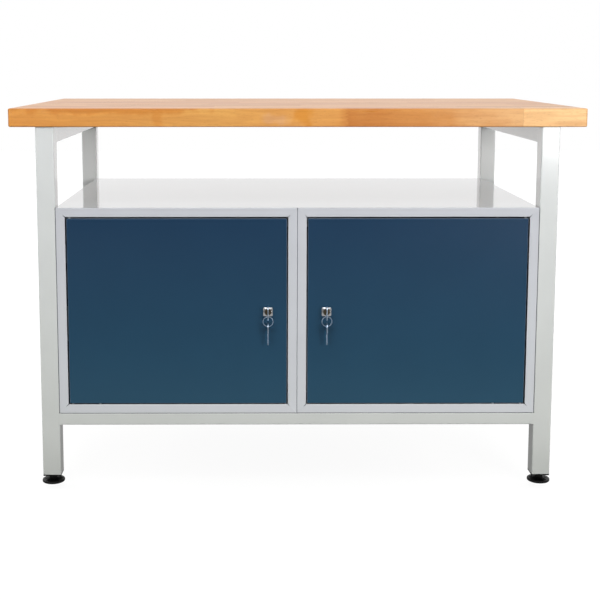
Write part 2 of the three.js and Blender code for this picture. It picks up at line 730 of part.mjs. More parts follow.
// Lock core: collar and body with the keyway, square tail and head that hold the cam
function makeLockCore() {
  const body = roundAlongY(CORE_RADIUS, coreFaceY, camFrontY);
  const collar = roundAlongY(CORE_COLLAR_RADIUS, coreFaceY, coreFaceY + CORE_COLLAR_DEPTH);
  const half = TAIL_SQUARE / 2;
  const camRearY = camFrontY + CAM_THICKNESS;
  const tail = block(-half, half, camFrontY - OVERRUN, camRearY + OVERRUN, -half, half);
  const head = roundAlongY(TAIL_HEAD_RADIUS, camRearY, camRearY + TAIL_HEAD_HEIGHT);
  const keywayHalf = KEY_THICKNESS / 2 + KEYWAY_CLEARANCE;
  const keywayReach = KEY_BLADE_WIDTH / 2 + KEYWAY_CLEARANCE;
  const keyway = block(
    -keywayHalf, keywayHalf,
    coreFaceY - OVERRUN, keyTipY + KEY_SEAT_GAP,
    -keywayReach, keywayReach,
  );
  return shaped(body, [collar, tail, head], [keyway]);
}

// Cam: round hub and a straight tongue that stands up while the door is free
function makeCam() {
  const half = CAM_WIDTH / 2;
  const rise = Math.sqrt(CAM_HUB_RADIUS ** 2 - half ** 2);
  const start = Math.atan2(rise, half);
  const outline = new THREE.Shape();
  outline.absarc(0, 0, CAM_HUB_RADIUS, Math.PI - start, 2 * Math.PI + start, false);
  outline.lineTo(half, CAM_LENGTH - half);
  outline.absarc(0, CAM_LENGTH - half, half, 0, Math.PI, false);
  outline.closePath();
  const square = TAIL_SQUARE / 2;
  const seat = new THREE.Path();
  seat.moveTo(-square, -square);
  seat.lineTo(-square, square);
  seat.lineTo(square, square);
  seat.lineTo(square, -square);
  seat.closePath();
  outline.holes.push(seat);
  const settings = { depth: CAM_THICKNESS, bevelEnabled: false, curveSegments: CAM_STEPS };
  const geometry = new THREE.ExtrudeGeometry(outline, settings);
  return geometry.rotateX(Math.PI / 2).translate(0, camFrontY + CAM_THICKNESS, 0);
}

// Key blank drawn from the end of the bow to the tip of the blade, +Y, flat in X
function makeKey() {
  const bow = roundedOutline(
    new THREE.Shape(), KEY_BOW_LENGTH, KEY_BOW_WIDTH, KEY_BOW_RADIUS, KEY_BOW_LENGTH / 2, 0,
  );
  const slot = roundedOutline(
    new THREE.Path(), KEY_SLOT_WIDTH, KEY_SLOT_LENGTH, KEY_SLOT_WIDTH / 2, KEY_SLOT_FROM_TIP, 0,
  );
  bow.holes.push(slot);
  const shoulderEnd = KEY_BOW_LENGTH + KEY_SHOULDER_LENGTH;
  const shoulderHalf = KEY_SHOULDER_WIDTH / 2;
  const bladeHalf = KEY_BLADE_WIDTH / 2;
  const inBow = KEY_BOW_LENGTH - OVERRUN;
  const shoulder = polygon([
    [inBow, -shoulderHalf], [shoulderEnd, -shoulderHalf],
    [shoulderEnd, shoulderHalf], [inBow, shoulderHalf],
  ]);
  const edge = [[shoulderEnd - OVERRUN, -bladeHalf]];
  KEY_CUT_DEPTHS.forEach((depth, index) => {
    const middle = shoulderEnd + KEY_CUT_START + index * KEY_CUT_PITCH;
    const reach = depth * KEY_CUT_SLOPE;
    edge.push([middle - reach, -bladeHalf]);
    edge.push([middle, depth - bladeHalf]);
    edge.push([middle + reach, -bladeHalf]);
  });
  const blade = polygon([
    ...edge,
    [keyLength - KEY_TIP_CHAMFER, -bladeHalf],
    [keyLength, -bladeHalf + KEY_TIP_CHAMFER],
    [keyLength, bladeHalf - KEY_TIP_CHAMFER],
    [keyLength - KEY_TIP_CHAMFER, bladeHalf],
    [shoulderEnd - OVERRUN, bladeHalf],
  ]);
  const [plate, collar, bit] = [bow, shoulder, blade].map(
    (shape) => runAlongX(shape, KEY_THICKNESS, -KEY_THICKNESS / 2),
  );
  return shaped(plate, [collar, bit]);
}

function makeKeyRing() {
  return new THREE.TorusGeometry(RING_RADIUS, RING_WIRE_RADIUS, WIRE_SIDES, RING_SIDES)
    .rotateX(Math.PI / 2);
}

// The frame and its feet
function addFrame() {
  part.add(piece("worktop", makeWorktop(), "beech"));
  Object.entries(legCentres).forEach(([place, [x, y]]) => {
    part.add(piece(`leg_${place}`, makeLeg(x, y), "lightGrey"));
    part.add(piece(`leg_plug_${place}`, makePlug(x, y), "blackPlastic"));
    part.add(piece(`foot_${place}`, makeFoot(x, y), "blackPlastic"));
  });
  const topBarZ = worktopUndersideZ - TOP_BAR_HEIGHT;
  [["left", -legCentreX], ["right", legCentreX]].forEach(([side, x]) => {
    part.add(piece(`top_bar_${side}`, makeSideBar(x, TOP_BAR_HEIGHT, topBarZ), "lightGrey"));
    const lower = makeSideBar(x, RAIL_HEIGHT, RAIL_UNDERSIDE_Z);
    part.add(piece(`side_rail_${side}`, lower, "lightGrey"));
  });
  const rearLegFrontY = rearLegCentreY - LEG_SIZE / 2;
  const rearTopBar = makeCrossRail(LEG_SIZE, TOP_BAR_HEIGHT, rearLegFrontY, topBarZ);
  part.add(piece("top_bar_rear", rearTopBar, "lightGrey"));
  const frontRail = makeCrossRail(RAIL_DEPTH, RAIL_HEIGHT, frameFrontY, RAIL_UNDERSIDE_Z);
  part.add(piece("front_rail", frontRail, "lightGrey"));
  const rearRailY = frameFrontY + CABINET_DEPTH - RAIL_DEPTH;
  const rearRail = makeCrossRail(RAIL_DEPTH, RAIL_HEIGHT, rearRailY, RAIL_UNDERSIDE_Z);
  part.add(piece("rear_rail", rearRail, "lightGrey"));
}

// One cabinet with its door; hingeRight tells on which side the door hangs
function addCabinet(side, hingeRight) {
  const towardsLock = hingeRight ? -1 : 1;
  const hingeEdgeX = -towardsLock * openingHalfWidth;
  const pivotX = hingeEdgeX + towardsLock * PIVOT_FROM_EDGE;
  const rivetX = hingeEdgeX + towardsLock * RIVET_FROM_EDGE;
  const doorEdgeX = hingeEdgeX + towardsLock * DOOR_GAP_HINGE;
  const doorCentreX = doorEdgeX + (towardsLock * doorWidth) / 2;
  const lockX = -hingeEdgeX - towardsLock * LOCK_FROM_EDGE;
  const cabinetX = (-towardsLock * cabinetWidth) / 2;

  const add = (name, geometry, finish, x = 0, y = 0, z = 0) => {
    geometry.translate(cabinetX + x, frameFrontY + y, cabinetBaseZ + z);
    part.add(piece(`${side}_${name}`, geometry, finish));
  };
  add("cabinet_hinge_side", makeCabinetSide(hingeRight, false), "lightGrey");
  add("cabinet_lock_side", makeCabinetSide(!hingeRight, true), "lightGrey");
  add("cabinet_top", makeCabinetDeck(true, pivotX, rivetX), "lightGrey");
  add("cabinet_bottom", makeCabinetDeck(false, pivotX, rivetX), "lightGrey");
  add("cabinet_back", makeCabinetBack(), "lightGrey");
  add("shelf", makeShelf(), "lightGrey");
  add("shelf_rail_left", makeShelfRail(false), "zincSteel");
  add("shelf_rail_right", makeShelfRail(true), "zincSteel");
  add("upper_pivot", makePivot(true, pivotX, rivetX, towardsLock), "zincSteel");
  add("lower_pivot", makePivot(false, pivotX, rivetX, towardsLock), "zincSteel");
  add("door_pan", makeDoorPan(doorCentreX, lockX, pivotX), "darkBlue");
  add("door_stiffener", makeStiffener(doorCentreX), "darkBlue");
  add("lock_housing", makeLockHousing(), "chrome", lockX, 0, lockZ);
  add("lock_nut", makeLockNut(), "zincSteel", lockX, 0, lockZ);
  add("lock_core", makeLockCore(), "chrome", lockX, 0, lockZ);
  add("lock_cam", makeCam(), "zincSteel", lockX, 0, lockZ);
  add("key", makeKey(), "zincSteel", lockX, keyFrontY, lockZ);
  add("key_ring", makeKeyRing(), "zincSteel", lockX, slotY, lockZ - ringCentreDrop);
  const spare = makeKey().rotateX(-Math.PI / 2);
  add("spare_key", spare, "zincSteel", lockX, slotY, lockZ - spareTopDrop);
}

addFrame();
addCabinet("left", false);
addCabinet("right", true);

export default part;
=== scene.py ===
"""Looks of a workbench with two cabinets. Metres, +Z up, the bench's front towards -Y."""
import json
import math
import random

import bmesh
import bpy
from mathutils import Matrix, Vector


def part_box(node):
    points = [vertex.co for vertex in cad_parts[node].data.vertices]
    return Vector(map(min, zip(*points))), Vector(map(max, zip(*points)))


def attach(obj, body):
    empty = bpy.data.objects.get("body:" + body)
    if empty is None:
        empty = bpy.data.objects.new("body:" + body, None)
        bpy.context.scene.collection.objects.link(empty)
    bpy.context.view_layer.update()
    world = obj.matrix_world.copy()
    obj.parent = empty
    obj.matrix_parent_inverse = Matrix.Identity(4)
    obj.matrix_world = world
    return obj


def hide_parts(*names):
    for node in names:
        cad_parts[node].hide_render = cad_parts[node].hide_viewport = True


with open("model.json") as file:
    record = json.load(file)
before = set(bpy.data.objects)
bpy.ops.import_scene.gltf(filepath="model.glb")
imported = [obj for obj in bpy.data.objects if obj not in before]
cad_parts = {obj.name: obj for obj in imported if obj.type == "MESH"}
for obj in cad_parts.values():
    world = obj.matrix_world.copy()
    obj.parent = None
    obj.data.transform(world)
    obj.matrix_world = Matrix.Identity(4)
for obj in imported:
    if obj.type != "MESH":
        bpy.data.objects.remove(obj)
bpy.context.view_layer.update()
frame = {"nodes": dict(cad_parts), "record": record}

# Metres in a millimetre. Round and ring-shaped pieces are written in plain millimetres and scaled when placed
MM = 0.001

# Camera: the photograph's view, with part of its steep vertical shift taken up by a tilt
CAMERA_PLACE = (-0.0934, -2.7461, 0.9347)
CAMERA_TILT_DOWN = math.radians(7.0)
CAMERA_TURN_RIGHT = math.radians(0.235)
LENS_MM = 67.07
SENSOR_MM = 36.0
SHIFT_ACROSS_SHARE = 0.0678
SHIFT_UP_SHARE = -0.1644

# Stage: a pale floor that runs out to white, and a room that mirrors bright behind and dim in front
FLOOR_HALF = 9.4
FLOOR_BELOW_FEET = 15.2 * MM
FLOOR_COLOUR = (0.13, 0.13, 0.127, 1)
FLOOR_GLOW_NEAR = 0.91
FLOOR_GLOW_FAR = 1.0
FLOOR_FADE = (1.0, 3.2)
FLOOR_MIRRORED = (0.02, 0.28)
FLOOR_MIRRORED_FADE = (-1.7, -0.45)
FLOOR_BEHIND_MIRRORED = 0.62
FLOOR_BEHIND_FADE = (1.2, 2.6)
FLOOR_WINDOW_MIRRORED = 1.9
FLOOR_WINDOW_FADE = (-5.2, -9.0)
FLOOR_WINDOW_LEFT_FADE = (1.1, 1.5)
ROOM_LIGHT = (0.96, 0.98, 1.0, 1)
ROOM_STRENGTH = (0.18, 0.8)
ROOM_STRENGTH_FADE = (0.0, 0.7)
ROOM_MIRRORED = (0.22, 1.0)
ROOM_MIRRORED_FADE = (-0.7, -0.1)
CEILING_MIRRORED_FADE = (0.2, 0.6)
WINDOW_MIRRORED = 7.4
WINDOW_FRONT_FADE = (-0.8, -0.9)
WINDOW_LEFT_FADE = (0.225, 0.25)
WINDOW_TOP_FADE = (0.02, -0.01)
WHITE = (1, 1, 1, 1)

# Lamps: place, aim, width, height, watts, colour, and whether gloss mirrors them
SOFTBOXES = {
    "front_left": ((-1.9, -4.2, 1.12), (-0.1, -0.2, 0.65), 1.6, 0.55, 57, (1.0, 1.0, 1.0), False),
    "front_right": ((1.9, -4.2, 1.12), (0.1, -0.2, 0.65), 1.6, 0.55, 56, (1.0, 1.0, 1.0), False),
    "front_above": ((-0.3, -1.7, 2.6), (0.0, -0.3, 0.6), 1.8, 0.8, 13, (1.0, 0.995, 0.985), True),
    "right_window": ((1.5, -2.75, 0.97), (0.548, -0.33, 0.97), 0.9, 0.9, 18, (0.98, 0.99, 1.0), False),
    "overhead": ((0.0, 0.3, 3.0), (0.0, 0.0, 0.8), 2.4, 1.4, 6, (1.0, 1.0, 1.0), False),
    "behind": ((0.2, 3.3, 1.4), (0.0, 0.3, 0.6), 2.4, 1.2, 50, (1.0, 1.0, 1.0), False),
    "left_side": ((-3.4, 0.4, 1.3), (-0.6, 0.0, 0.6), 1.4, 1.2, 38, (1.0, 1.0, 1.0), False),
    "right_side": ((3.4, 0.4, 1.3), (0.6, 0.0, 0.6), 1.4, 1.2, 38, (1.0, 1.0, 1.0), False),
}

# Worktop: glued staves of beech that run along the bench, the front row as photographed
STAVE_COUNT = 16
STAVE_LENGTHS = (0.34, 0.55)
ROW_OFFSET = 9.0
ROW_SEED = (3.7, 1.3)
PIECE_SEED = 0.5
ROW_SETBACK = 0.5 * MM
FINGER_LENGTH = 11 * MM
FINGER_PITCH = 7 * MM
GLUE_LINE = 0.5 * MM
GLUE_SHARE = 0.35
FRONT_FINGER_JOINT = 0.107
FRONT_BUTT_JOINT = 0.486
PATCH_EDGE = (1.0, 0.35)
PATCH_WANDER = 0.35
TONE_WANDER = 0.05
WOOD_EDGE_SHADE_SHARE = 0.55
HEART_ACROSS = 0.05
HEART_HEIGHTS = (0.74, 0.9)
YEAR_RINGS_PER_METRE = 420.0
WOOD_ROUGHNESS = (0.26, 0.36)
GRAIN_DEPTH = 0.05 * MM
GRAIN_STRENGTH = 0.4
GRAIN_SHIFT = (3.0, 0.4, 0.4)
HUE_SHARE = 0.35
PATCH_CLOUDS_PER_METRE = 38.0
TONE_CLOUDS_PER_METRE = 16.0
STREAKS_PER_METRE = 70.0
STREAKS_FADE = (0.35, 0.7)
STREAKS_SHARE = 0.3
FIGURE_PER_METRE = 9.0
RINGS_IN_FIGURE = 9.0
FIGURE_FADE = (0.1, 0.5)
FIGURE_SHARE = 0.16
FLECKS_PER_METRE = 900.0
FLECKS_FADE = (0.62, 0.72)
FLECKS_SHARE = 0.3
YEAR_RING_SHARES = (0.1, 0.5)
END_FACING = 0.7

# Levelling feet: a dished sole, a collar, a chamfered hexagon and a threaded stud
SOLE_PROFILE = (
    (0.0, 0.0), (22.5, 0.0), (24.2, 0.3), (25.0, 1.2), (25.0, 4.2), (24.6, 4.9), (23.8, 5.3), (22.6, 5.45),
    (22.0, 5.3), (21.2, 5.35), (15.0, 6.75), (12.6, 7.4), (12.0, 8.0), (11.9, 8.6), (11.4, 9.1), (10.2, 9.3),
    (5.2, 9.3),
)
SOLE_SIDES = 64
SOLE_RIBS = 12
RIB_SECTIONS = ((12.6, 6.4, 8.2), (17.6, 5.2, 6.8), (20.6, 4.9, 5.6))
RIB_HALF_WIDTH = 0.7
RIB_SHOULDER = 0.8
RIB_CREST_SHARE = 0.3
RIB_CREST = 0.12
HEXAGON_ACROSS = 17.0
HEXAGON_HEIGHTS = (9.2, 14.0)
HEXAGON_CHAMFER = 1.1
STUD_RADIUS = 5.0
THREAD_DEPTH = 0.75
THREAD_PITCH = 1.5
THREAD_HEIGHTS = (14.0, 49.0)
THREAD_SIDES = 24
STEPS_PER_PITCH = 6
THREAD_FLATNESS = 1.25

# Hexagons: sides of the real head and of its mesh, and how its corners are turned down (in, down)
HEX_SIDES = 6
HEXAGON_MESH_SIDES = 48
CHAMFER_LEVELS = ((0.35, 0.45), (0.2, 0.0))

# Cam lock: rings of the rose (half width, half height, squareness, depth, corner drop), and its barrel
ROSE_THICKNESS = 3.0
ROSE_RINGS = (
    (10.5, 9.75, 9, 0.0, 0.0), (10.5, 9.75, 9, 1.9, 1.6), (10.3, 9.55, 9, 2.35, 1.9),
    (9.7, 9.0, 8, 2.65, 1.8), (8.8, 8.4, 5, 2.8, 1.2), (8.0, 7.9, 3, 2.9, 0.5),
    (7.55, 7.55, 2, 2.95, 0.0), (7.3, 7.3, 2, 2.8, 0.0), (7.3, 7.3, 2, 0.8, 0.0),
)
ROSE_SIDES = 72
ROSE_CORNER_FROM = 0.8
BARREL_RADIUS = 8.0
BARREL_BORE = 5.9
BARREL_THREAD_DEPTH = 0.5
BARREL_THREAD_PITCH = 1.0

# Spot welds that join the cabinets' sheets
SPOT_PROFILE = ((3.5, 0.0), (3.2, 0.22), (2.7, 0.26), (2.2, 0.08), (0.4, 0.05))
SPOT_SIDES = 20
SPOT_PITCH = 62 * MM
SPOT_INSET = 9 * MM

# Welds: beads in the frame's inner corners, and ground seams where tubes meet flush
BEAD_RADIUS = 2.0 * MM
BEAD_SINK = 0.8 * MM
BEAD_RIPPLE = 2.4 * MM
BEAD_RIPPLE_SHARE = 0.1
BEAD_UNEVENNESS = 0.04
BEAD_END_SHARE = 0.35
BEAD_TAPER = 6
BEAD_FLATNESS = 0.18
BEAD_PARTS = 6
STEPS_PER_RIPPLE = 4
BEAD_LEAST_STEPS = 6
SEAM_HALF_WIDTH = 4.2 * MM
SEAM_RISE = 0.16 * MM
SEAM_SINK = 2.4 * MM
SEAM_EDGE_SINK = 0.05 * MM
SEAM_FOOT_SHARE = 0.9
SEAM_SWAY = 0.08
SEAM_UNEVENNESS = 0.35
SEAM_STEP = 1.1 * MM
SEAM_LEAST_STEPS = 8
SEAM_PARTS = 8
SEAM_INSET = 0.4 * MM
ACROSS_RAIL_INSET = 3 * MM
REAR_RAIL_INSET = 2 * MM
SIDE_BAR_INSET = 4 * MM
MITRE_HALF_WIDTH = 1.9 * MM
MITRE_RISE = 0.24 * MM
MITRE_ENDS = (1.5 * MM, 15.5 * MM)
MITRE_SEED = 70

# Edges sharper than this stay sharp: on the part's solids, on added pieces and on welds
SOLID_SHARP = math.radians(38)
PIECE_SHARP = math.radians(34)
WELD_SHARP = math.radians(60)

# Corners of a solid's triangles that lie closer than this are joined
MERGE_DISTANCE = 0.002 * MM

# Bolts that join the cabinets to the legs, to each other and to the rear rail, and worktop screws
BOLT_ACROSS = 10.0
BOLT_HEAD = 4.0
BOLT_CHAMFER = 0.8
WASHER_RADIUS = 6.0
WASHER_THICKNESS = 1.2
WASHER_EDGE = 0.2
WASHER_SIDES = 40
SCREW_PROFILE = ((5.0, 0.0), (5.0, 0.2), (4.4, 0.65), (3.2, 0.95), (2.2, 1.0))
SOCKET_ACROSS = 3.0
SOCKET_FLOOR = 0.1
LEG_BOLT_SETBACK = 28 * MM
CABINET_BOLT_HEIGHTS = (0.225, 0.565)
JOINING_BOLTS_Y = (-0.27, 0.25)
RAIL_BOLT_SETBACK = 16 * MM
RAIL_BOLTS_X = (0.1, 0.44)
WORKTOP_SCREWS_Y = (-0.22, 0.015, 0.25)

# Paint: mottling, rubbed patches that shine a little more, and orange peel
MOTTLING_PER_METRE = 9.0
MOTTLING_SHARE = 0.05
RUBBED_PER_METRE = 14.0
RUBBED_ROUGHNESS = 0.02
PEEL_PER_METRE = 300.0
PEEL_DEPTH = 0.02 * MM
PEEL_STRENGTH = 0.2
COAT_ROUGHNESS = 0.06

# Moulded plastic and plated steel
PLASTIC_GRAIN_PER_METRE = 2400.0
PLASTIC_DUST_PER_METRE = 60.0
PLASTIC_GRAIN_DEPTH = 0.05 * MM
PLASTIC_ROUGHNESS = (0.34, 0.5)
SCRATCHES_PER_CLOUD = 9
SCRATCH_DEPTH = 0.01 * MM
SCRATCHED_ROUGHNESS = (-0.05, 0.08)

# Noise stays mostly between these values
NOISE_MIDDLE = (0.3, 0.7)

# Painted shade: darker paint in seams and folds, in hollows and near the floor, where less light reaches
CREVICE_REACH = 5 * MM
CREVICE_SAMPLES = 6
HOLLOW_REACH = 110 * MM
HOLLOW_FADE = (0.6, 0.25)
HOLLOW_SHARE = 0.5
NEAR_FLOOR = (0.13, 0.02)
NEAR_FLOOR_SHARE = 0.12
CREVICE_SHADE_COLOUR = (0.014, 0.019, 0.027, 1)
PAINTED_LOW_SHADE_COLOUR = (0.036, 0.032, 0.022, 1)
# Heights between which the paint's colour runs from its low tone to its top tone: painted light and
# reflection that change with height
PAINTED_LIGHT_HEIGHTS = (0.02, 0.75)

# A painted shadow line where the two cabinets meet at the back, and bends, which get a painted highlight on
# the paint and painted shade on the wood
REAR_JOINT_FADE = (1.9 * MM, 0.9 * MM)
REAR_JOINT_FROM_Y = 0.25
REAR_JOINT_FACING = 0.3
REAR_JOINT_SHARE = 0.75
BENT_FACING = (0.99, 0.8)


def colour(red, green, blue):
    """A colour given as 0 to 255 on a screen, turned into the linear one that a shader takes."""
    def linear(value):
        share = value / 255
        return share / 12.92 if share <= 0.04045 else ((share + 0.055) / 1.055) ** 2.4
    return (linear(red), linear(green), linear(blue), 1)


class Graph:
    """The nodes of a material or of the world, with short ways to add and join them."""

    def __init__(self, name, owner=None):
        self.material = owner or bpy.data.materials.new(name)
        self.material.use_nodes = True
        self.nodes = self.material.node_tree.nodes
        self.links = self.material.node_tree.links
        self.shader = self.nodes.get("Principled BSDF")
        coordinates = self.nodes.new("ShaderNodeTexCoord")
        self.place = coordinates.outputs["Object"]
        self.direction = coordinates.outputs["Generated"]
        self.path = self.nodes.new("ShaderNodeLightPath")

    def feed(self, socket, value):
        if isinstance(value, bpy.types.NodeSocket):
            self.links.new(value, socket)
        else:
            socket.default_value = value

    def add(self, kind, sockets, **settings):
        node = self.nodes.new(kind)
        for name, value in settings.items():
            setattr(node, name, value)
        for name, value in sockets.items():
            self.feed(node.inputs[name], value)
        return node

    def math(self, operation, *values):
        node = self.nodes.new("ShaderNodeMath")
        node.operation = operation
        for socket, value in zip(node.inputs, values):
            self.feed(socket, value)
        return node.outputs["Value"]

    def vector(self, operation, *values):
        node = self.nodes.new("ShaderNodeVectorMath")
        node.operation = operation
        for socket, value in zip(node.inputs, values):
            self.feed(socket, value)
        return node.outputs["Vector"]

    def axes(self, vector):
        node = self.add("ShaderNodeSeparateXYZ", {"Vector": vector})
        return node.outputs["X"], node.outputs["Y"], node.outputs["Z"]

    def join(self, x, y, z):
        return self.add("ShaderNodeCombineXYZ", {"X": x, "Y": y, "Z": z}).outputs["Vector"]

    def noise(self, per_metre, detail=3.0, roughness=0.5, stretch=(1, 1, 1), place=None):
        scaled = self.vector("MULTIPLY", place or self.place, stretch)
        sockets = {"Vector": scaled, "Scale": per_metre, "Detail": detail, "Roughness": roughness}
        return self.add("ShaderNodeTexNoise", sockets).outputs["Fac"]

    def random(self, vector):
        return self.add("ShaderNodeTexWhiteNoise", {"Vector": vector}, noise_dimensions="3D")

    def between(self, value, low, high, new_low=0.0, new_high=1.0, way="LINEAR"):
        sockets = {
            "Value": value, "From Min": low, "From Max": high, "To Min": new_low, "To Max": new_high,
        }
        return self.add("ShaderNodeMapRange", sockets, interpolation_type=way).outputs["Result"]

    def smooth(self, value, low, high, new_low=0.0, new_high=1.0):
        return self.between(value, low, high, new_low, new_high, "SMOOTHSTEP")

    def length(self, vector):
        node = self.add("ShaderNodeVectorMath", {0: vector}, operation="LENGTH")
        return node.outputs["Value"]

    def facing(self):
        """How far the face looks along each axis, either way."""
        normal = self.nodes.new("ShaderNodeNewGeometry").outputs["True Normal"]
        return tuple(self.math("ABSOLUTE", part) for part in self.axes(normal))

    def bent(self):
        """One on rounded edges and bends, and zero on faces that look straight along an axis."""
        x, y, z = self.facing()
        flattest = self.math("MAXIMUM", self.math("MAXIMUM", x, y), z)
        return self.smooth(flattest, *BENT_FACING)

    def viewed(self):
        """One where the camera, a reflection or glass looks, and zero where light bounces softly."""
        rays = self.path.outputs
        mirrored = self.math("MAXIMUM", rays["Is Glossy Ray"], rays["Is Transmission Ray"])
        return self.math("MAXIMUM", rays["Is Camera Ray"], mirrored)

    def pick(self, share, first, second):
        """The first value where the share is zero, the second where it is one."""
        return self.add("ShaderNodeMix", {0: share, 2: first, 3: second}).outputs["Result"]

    def for_viewers(self, straight, mirrored):
        """The first value where the camera looks straight at a thing, and the second in a reflection."""
        return self.pick(self.path.outputs["Is Camera Ray"], mirrored, straight)

    def mix(self, factor, first, second, blend="MIX"):
        node = self.nodes.new("ShaderNodeMix")
        node.data_type = "RGBA"
        node.blend_type = blend
        self.feed(node.inputs[0], factor)
        self.feed(node.inputs[6], first)
        self.feed(node.inputs[7], second)
        return node.outputs[2]

    def ramp(self, value, stops):
        node = self.add("ShaderNodeValToRGB", {"Fac": value})
        elements = node.color_ramp.elements
        for position, _ in stops[len(elements):]:
            elements.new(position)
        for element, (position, tone) in zip(elements, stops):
            element.position = position
            element.color = tone
        return node.outputs["Color"]

    def bump(self, height, depth, strength=1.0):
        sockets = {"Height": height, "Distance": depth, "Strength": strength}
        return self.add("ShaderNodeBump", sockets).outputs["Normal"]

    def closed(self, reach, fade, share):
        """Up to the share where other faces stand close around, within the reach."""
        nearby = self.nodes.new("ShaderNodeAmbientOcclusion")
        nearby.samples = CREVICE_SAMPLES
        nearby.inputs["Distance"].default_value = reach
        return self.smooth(nearby.outputs["AO"], *fade, 0.0, share)

    def rear_joint_shadow(self):
        """A painted shadow line, up to the share, at the back where the folded edges of the two cabinets
        meet.
        """
        x, y, _ = self.axes(self.place)
        _, towards_y, _ = self.facing()
        line = self.smooth(self.math("ABSOLUTE", x), *REAR_JOINT_FADE, 0.0, REAR_JOINT_SHARE)
        at_back = self.math("GREATER_THAN", y, REAR_JOINT_FROM_Y)
        upright = self.math("GREATER_THAN", towards_y, REAR_JOINT_FACING)
        return self.math("MULTIPLY", line, self.math("MULTIPLY", at_back, upright))

    def finish(self, **sockets):
        for name, value in sockets.items():
            self.feed(self.shader.inputs[name.replace("_", " ")], value)
        return self.material


def powder_coat(
    name, tone, low_painted_light_tone, edge_highlight_tone, edge_highlight_share, roughness, specular, gloss, crevice_share, crevice_fade,
    hollow_share=0.0, shadow_rear_joint=False,
):
    """Sprayed and baked paint: faint mottling, orange peel, rubbed patches that shine a little more, and
    painted
    light: a tone from top to floor for light and reflections, a highlight on bends, and shade in crevices,
    hollows and near the floor."""
    graph = Graph(name)
    _, _, z = graph.axes(graph.place)
    # Painted light: the tone shifts with height, darker low on the frame, paler and greener low on the doors,
    # for light and reflections
    painted_height_light = graph.mix(graph.between(z, *PAINTED_LIGHT_HEIGHTS), low_painted_light_tone, tone)
    mottling = graph.between(graph.noise(MOTTLING_PER_METRE, detail=4.0), 0.35, 0.65, 0.0, MOTTLING_SHARE)
    colours = graph.mix(mottling, painted_height_light, colour(120, 124, 128), "MULTIPLY")
    # Painted highlight: bends are paler, standing in for light caught on the rounded edges
    colours = graph.mix(graph.math("MULTIPLY", graph.bent(), edge_highlight_share), colours, edge_highlight_tone)
    # Painted shade: darker towards the floor, and within the reach of faces that stand around hollows under
    # and between parts
    painted_low_shade = graph.smooth(z, *NEAR_FLOOR, 0.0, NEAR_FLOOR_SHARE)
    if hollow_share:
        hollow_shade = graph.closed(HOLLOW_REACH, HOLLOW_FADE, hollow_share)
        painted_low_shade = graph.math("MAXIMUM", painted_low_shade, hollow_shade)
    colours = graph.mix(painted_low_shade, colours, PAINTED_LOW_SHADE_COLOUR)
    # Painted shade in seams, folds and gaps, and the painted shadow line at the back
    crevice_shade = graph.closed(CREVICE_REACH, crevice_fade, crevice_share)
    if shadow_rear_joint:
        crevice_shade = graph.math("MAXIMUM", crevice_shade, graph.rear_joint_shadow())
    colours = graph.mix(crevice_shade, colours, CREVICE_SHADE_COLOUR)
    rubbed = graph.noise(RUBBED_PER_METRE)
    shine = graph.between(rubbed, *NOISE_MIDDLE, roughness - RUBBED_ROUGHNESS, roughness + RUBBED_ROUGHNESS)
    peel = graph.noise(PEEL_PER_METRE, detail=1.0)
    return graph.finish(
        Base_Color=colours,
        Roughness=shine,
        Specular_IOR_Level=specular,
        Coat_Weight=gloss,
        Coat_Roughness=COAT_ROUGHNESS,
        Normal=graph.bump(peel, PEEL_DEPTH, PEEL_STRENGTH),
    )


def black_plastic(name):
    """Moulded plastic: nearly black, finely grained, with a little dust."""
    graph = Graph(name)
    grain = graph.noise(PLASTIC_GRAIN_PER_METRE, detail=2.0)
    dust = graph.noise(PLASTIC_DUST_PER_METRE, detail=4.0)
    tone = graph.mix(graph.between(dust, 0.4, 0.75), colour(4, 4, 4), colour(11, 11, 10))
    return graph.finish(
        Base_Color=tone,
        Specular_IOR_Level=0.25,
        Roughness=graph.between(dust, *NOISE_MIDDLE, *PLASTIC_ROUGHNESS),
        Normal=graph.bump(grain, PLASTIC_GRAIN_DEPTH, 0.5),
    )


def bare_metal(name, tone, dull_tone, roughness, per_metre, stretch=(1, 1, 1)):
    """Plated steel: cloudy reflection with fine scratches that run one way."""
    graph = Graph(name)
    clouds = graph.noise(per_metre, detail=4.0)
    scratches = graph.noise(per_metre * SCRATCHES_PER_CLOUD, stretch=stretch)
    smoothest, roughest = (roughness + change for change in SCRATCHED_ROUGHNESS)
    return graph.finish(
        Metallic=1,
        Base_Color=graph.mix(graph.between(clouds, *NOISE_MIDDLE), dull_tone, tone),
        Roughness=graph.between(scratches, *NOISE_MIDDLE, smoothest, roughest),
        Normal=graph.bump(scratches, SCRATCH_DEPTH, 0.4),
    )


# Beech: tones of the staves and along the front edge, and patches there (middle, reach, share, colour)
STAVE_TONES = (
    (0.0, colour(189, 126, 58)), (0.35, colour(201, 141, 70)), (0.7, colour(211, 155, 84)),
    (1.0, colour(222, 176, 108)),
)
FRONT_TONES = (
    (0.0, colour(221, 154, 74)), (0.35, colour(219, 164, 90)), (0.57, colour(221, 160, 87)),
    (0.59, colour(195, 126, 60)), (0.72, colour(207, 144, 77)), (0.86, colour(224, 175, 117)),
)
FRONT_LAST_PIECE = colour(242, 198, 138)
FRONT_PATCHES = (
    ((-0.048, 0.817), (0.034, 0.018), 0.6, colour(216, 168, 124)),
    ((0.014, 0.82), (0.026, 0.03), 0.7, colour(212, 140, 44)),
    ((-0.303, 0.818), (0.016, 0.04), 0.45, colour(206, 132, 48)),
    ((-0.4, 0.836), (0.24, 0.014), 0.6, colour(200, 122, 42)),
)


